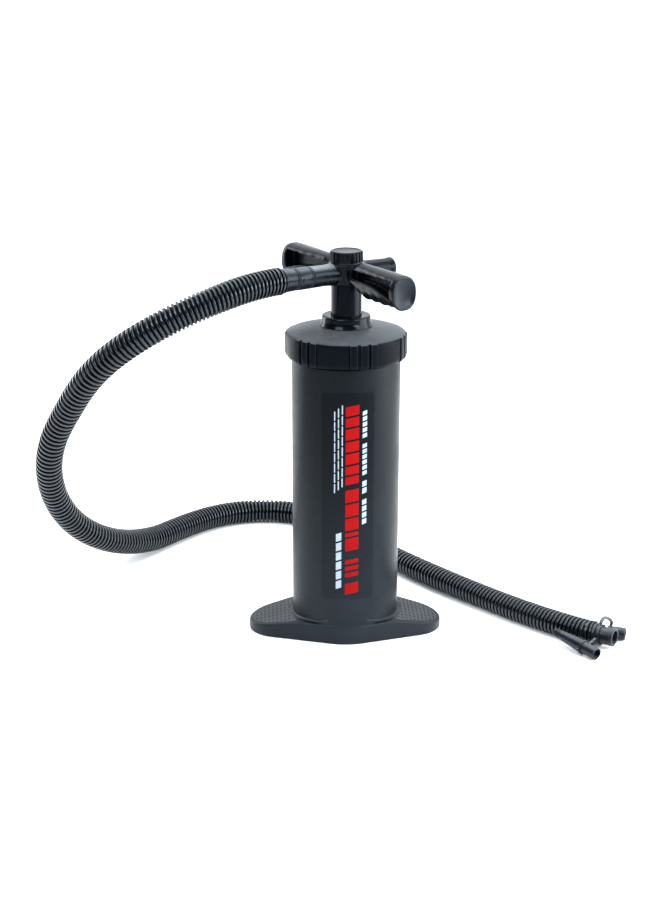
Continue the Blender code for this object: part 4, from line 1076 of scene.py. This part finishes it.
def make_rod(materials):
    """The hollow rod, with a hole to each port."""
    profile = [(12.2, 354.6, 0.2), (14.3, 354.6, 0.3), (14.3, 28.0, 0.3), (12.2, 28.0, 0.2)]
    rod = lathe_mesh("rod", profile, 96, None, closed=True)
    holes = []
    for side, radius in ((-1, 5.0), (1, 4.7)):
        hole = [(0.0, 20.0), (radius, 20.0), (radius, 2.0), (0.0, 2.0)]
        holes.append(lathe_mesh("hole", hole, 48, port_frame(side)))
    rod = boolean_mesh(rod, holes, "DIFFERENCE")
    show(link("rod", rod, materials["rod"]), "plunger", "rod", "piston_rod")


# --- handle ---
def grip_section(distance, half_width, low, high, scale=1.0, count=72):
    """A slightly squared oval ring across a grip, at that distance from the pump's axis."""
    middle = 0.5 * (low + high)
    half_height = 0.5 * (high - low)
    points = []
    for k in range(count):
        angle = math.tau * k / count
        side = math.copysign(abs(math.cos(angle)) ** GRIP_OVAL_POWER, math.cos(angle))
        rise = math.copysign(abs(math.sin(angle)) ** GRIP_OVAL_POWER, math.sin(angle))
        points.append((distance, scale * half_width * side, middle + scale * half_height * rise))
    return points


def along_x(frame_matrix):
    """The direction of a frame's X axis."""
    return frame_matrix.to_3x3().col[0].normalized()


def grip_half_width(distance):
    """Half a grip's width, which grows away from the hub."""
    return 9.5 + 3.5 * ease(distance, 10.0, 84.0)


def grip_sections():
    """Rings from inside the hub to the dished end, with finger waves along the underside."""
    rings = []
    for distance in np.arange(4.0, 91.0, 1.2):
        top = 362.3 - 4.4 * (1.0 - ease(distance, 16.0, 28.0))
        bottom = 332.2 + 8.5 * (1.0 - ease(distance, 12.0, 40.0))
        fingers = ease(distance, 22.0, 34.0) * (1.0 - ease(distance, 78.0, 86.0))
        bottom += fingers * math.cos(math.tau * (distance - 34.0) / FINGER_PITCH)
        rings.append(grip_section(distance, grip_half_width(distance), bottom, top))
    end_size = (13.0, 330.6, 361.9)
    for back, scale in (
        (1.6, 1.0), (0.7, 0.985), (0.1, 0.95), (0.0, 0.90), (0.2, 0.84), (0.9, 0.76), (1.7, 0.62),
        (2.3, 0.42), (2.6, 0.15),
    ):
        rings.append(grip_section(GRIP_END - back, *end_size, scale))
    return rings


def pocket_outline():
    """The side pocket of a grip as (distance, height): level above, arched below."""
    arch = [(87.5, 340.0), (76.0, 342.9), (68.0, 345.0), (60.0, 346.5), (52.0, 347.3), (44.0, 347.7)]
    return [(21.5, 356.0), (87.5, 357.4), *arch, (30.0, 347.8), (21.5, 348.0)]


def paint_handle(mesh):
    """Gives the pockets' faces a darker material as painted shade, and the end discs and the hose socket a
    lighter copy as painted light.
    """
    shaded_pocket_slot = 1
    lit_copy_slot = 2
    grip_axis = along_x(handle_frame())
    in_handle = handle_frame().inverted()
    in_socket = port_frame(-1).inverted()
    for face in mesh.polygons:
        spot = (in_handle @ face.center) / MM
        distance = abs(spot.x)
        inside = abs(spot.y) < POCKET_WIDTH_SHARE * grip_half_width(distance)
        along_pocket = POCKET_DISTANCES[0] < distance < POCKET_DISTANCES[1]
        if along_pocket and POCKET_HEIGHTS[0] < spot.z < POCKET_HEIGHTS[1] and inside:
            # painted shade in the pockets
            face.material_index = shaded_pocket_slot
        elif distance > GRIP_END - END_DISC_DEPTH and abs(face.normal.dot(grip_axis)) > 0.5:
            # painted light on the end discs
            face.material_index = lit_copy_slot
        reach = (in_socket @ face.center) / MM
        if reach.z > SOCKET_START and math.hypot(reach.x, reach.y) < SOCKET_MOST_R:
            # painted light on the hose socket
            face.material_index = lit_copy_slot


def make_handle(materials):
    """Hub, grips, hose socket and stub as one moulding, with every edge softened."""
    place = handle_frame()
    hub = [(0.0, HUB_TOP_Z), (HUB_R, HUB_TOP_Z, 0.8), (HUB_R, HUB_BOTTOM_Z, 0.8), (0.0, HUB_BOTTOM_Z)]
    facing = (place, place @ Matrix.Rotation(math.pi, 4, "Z"))
    solids = [loft_mesh("grip", grip_sections(), where) for where in facing]
    socket = [
        (0.0, SOCKET_END), (9.7, SOCKET_END, 0.3), (10.1, SOCKET_END - 0.4, 0.3), (9.8, 26.0),
        (10.3, 17.0, 3.0), (12.2, 10.0), (12.2, 2.0), (0.0, 2.0),
    ]
    stub = [
        (0.0, STUB_END), (9.2, STUB_END, 0.4), (9.2, 46.0, 1.0), (8.7, 44.5, 1.0), (9.3, 20.0, 3.0),
        (11.6, 11.0), (11.6, 2.0), (0.0, 2.0),
    ]
    solids.append(lathe_mesh("socket", socket, 80, port_frame(-1)))
    solids.append(lathe_mesh("stub", stub, 80, port_frame(1)))
    handle = boolean_mesh(lathe_mesh("hub", hub, 96), solids, "UNION")
    upright = Matrix.Rotation(math.radians(90.0), 4, "X")
    pockets = []
    for where in facing:
        for side in (-1, 1):
            low, high = sorted((side * 2.6, side * 20.0))
            pockets.append(prism_mesh("pocket", pocket_outline(), low, high, where @ upright))
    handle = boolean_mesh(handle, pockets, "DIFFERENCE")
    opening = [
        (0.0, HUB_TOP_Z + 8.0), (9.3, HUB_TOP_Z + 8.0), (9.3, 355.4), (14.6, 355.4), (14.6, 335.0),
        (0.0, 335.0),
    ]
    cutters = [lathe_mesh("opening", opening, 96, place)]
    for side, end in ((-1, SOCKET_END), (1, STUB_END)):
        port = [(0.0, end + 5.0), (8.0, end + 5.0), (8.0, 24.0), (5.0, 24.0), (5.0, 9.0), (0.0, 9.0)]
        cutters.append(lathe_mesh("port", port, 56, port_frame(side)))
    handle = boolean_mesh(handle, cutters, "DIFFERENCE")
    handle = with_modifiers(
        handle,
        ("REMESH", {"mode": "VOXEL", "voxel_size": HANDLE_VOXEL}),
        ("SMOOTH", {"factor": 0.5, "iterations": 5}),
    )
    body = link("handle_body", handle, materials["grip"], 80.0)
    # the pockets get painted shade, the end discs and the socket a painted-light copy
    handle.materials.append(materials["pocket"])
    handle.materials.append(materials["handle"])
    paint_handle(handle)
    show(body, "plunger", "handle", "handle")


def knob_wave(angle, radius, height):
    """Grip ribs round the knob's rim, fading out towards its top edge."""
    if radius < 14.0 or height < 360.0:
        return 0.0
    wave = math.cos(KNOB_RIBS * angle)
    return -KNOB_RIB_DEPTH * ease(-wave, -0.35, 0.35) * (1.0 - ease(height, 368.6, 369.8))


def make_knob(materials):
    """The knob on top of the handle, with a dished top and a plug into the hub."""
    profile = [
        (0.0, TOTAL_HEIGHT - 0.5), (11.6, TOTAL_HEIGHT - 0.5, 0.4), (12.2, TOTAL_HEIGHT, 0.4),
        (14.2, TOTAL_HEIGHT, 0.8), (15.35, TOTAL_HEIGHT - 1.2, 0.6), (15.35, 366.0), (15.35, 363.0),
        (15.35, 360.0, 0.3), (9.0, 360.0), (9.0, 355.9, 0.4), (0.0, 355.9),
    ]
    knob = lathe("knob", profile, materials["knob"], 528, None, wave=knob_wave)
    show(knob, "knob", "knob", "top_knob")


def make_connector(materials):
    """The hose's cuff in the handle's socket, and the lock ring with two lugs between them."""
    place = port_frame(-1)
    neck_low = SOCKET_END + 0.3
    profile = [
        (5.8, CUFF_END, 0.3), (11.4, CUFF_END, 0.4), (11.4, CUFF_END - 1.6, 0.3), (10.9, CUFF_END - 2.0, 0.3),
        (10.8, CUFF_END - 4.0, 0.8), (10.3, CUFF_START + 2.4, 0.4), (10.3, CUFF_START + 1.4, 0.2),
        (9.7, CUFF_START + 1.2, 0.2), (9.7, CUFF_START + 0.8, 0.2), (10.1, CUFF_START + 0.6, 0.2),
        (10.1, CUFF_START, 0.2), (8.6, CUFF_START), (8.6, neck_low), (7.7, neck_low), (7.7, 24.6, 0.4),
        (5.8, 24.6, 0.2),
    ]
    show(
        lathe("hose_cuff", profile, materials["fitting"], 96, place, closed=True),
        "plunger", "fitting", "hose_connector",
    )
    low = SOCKET_END + 0.4
    high = CUFF_START - 0.3
    ring = [
        (10.2, high, 0.2), (10.2, high - 0.7, 0.2), (9.7, high - 0.9, 0.2), (9.7, high - 1.4, 0.2),
        (10.3, high - 1.6, 0.3), (10.3, low + 2.2, 0.3), (9.7, low + 2.0, 0.2), (9.7, low + 1.5, 0.2),
        (10.2, low + 1.3, 0.2), (10.2, low, 0.3), (8.9, low), (8.9, high),
    ]
    lock = lathe_mesh("lock", ring, 96, place, closed=True)
    lugs = [box_mesh((2.0, 5.0, 8.0), (side * 10.3, 0.0, 0.5 * (low + high)), place) for side in (-1, 1)]
    lugs = [with_modifiers(lug, ("BEVEL", {"width": 0.6 * MM, "segments": 3})) for lug in lugs]
    lock = boolean_mesh(lock, lugs, "UNION")
    show(link("lock_ring", lock, materials["fitting"]), "lock_ring", "fitting", "hose_lock_ring")


# --- pieces that keep their CAD shape ---
def paint_cad_nodes(materials):
    """The inner and small pieces keep their CAD shape and take their slot's material."""
    for part in frame["record"]["subparts"]:
        thing = frame["nodes"][part["node"]]
        material = materials[part["material_slot"]]
        if not thing.data.materials:
            thing.data.materials.append(material)
        for slot in thing.material_slots:
            slot.material = material


add_camera()
add_studio()
materials = make_materials()
paint_cad_nodes(materials)
hose, hose_exit, hose_path = make_hose(materials)
hose_end = make_hose_end(materials)
make_foot(materials)
make_barrel(materials)
make_label(materials)
make_cap(materials)
make_rod(materials)
make_handle(materials)
make_knob(materials)
make_connector(materials)
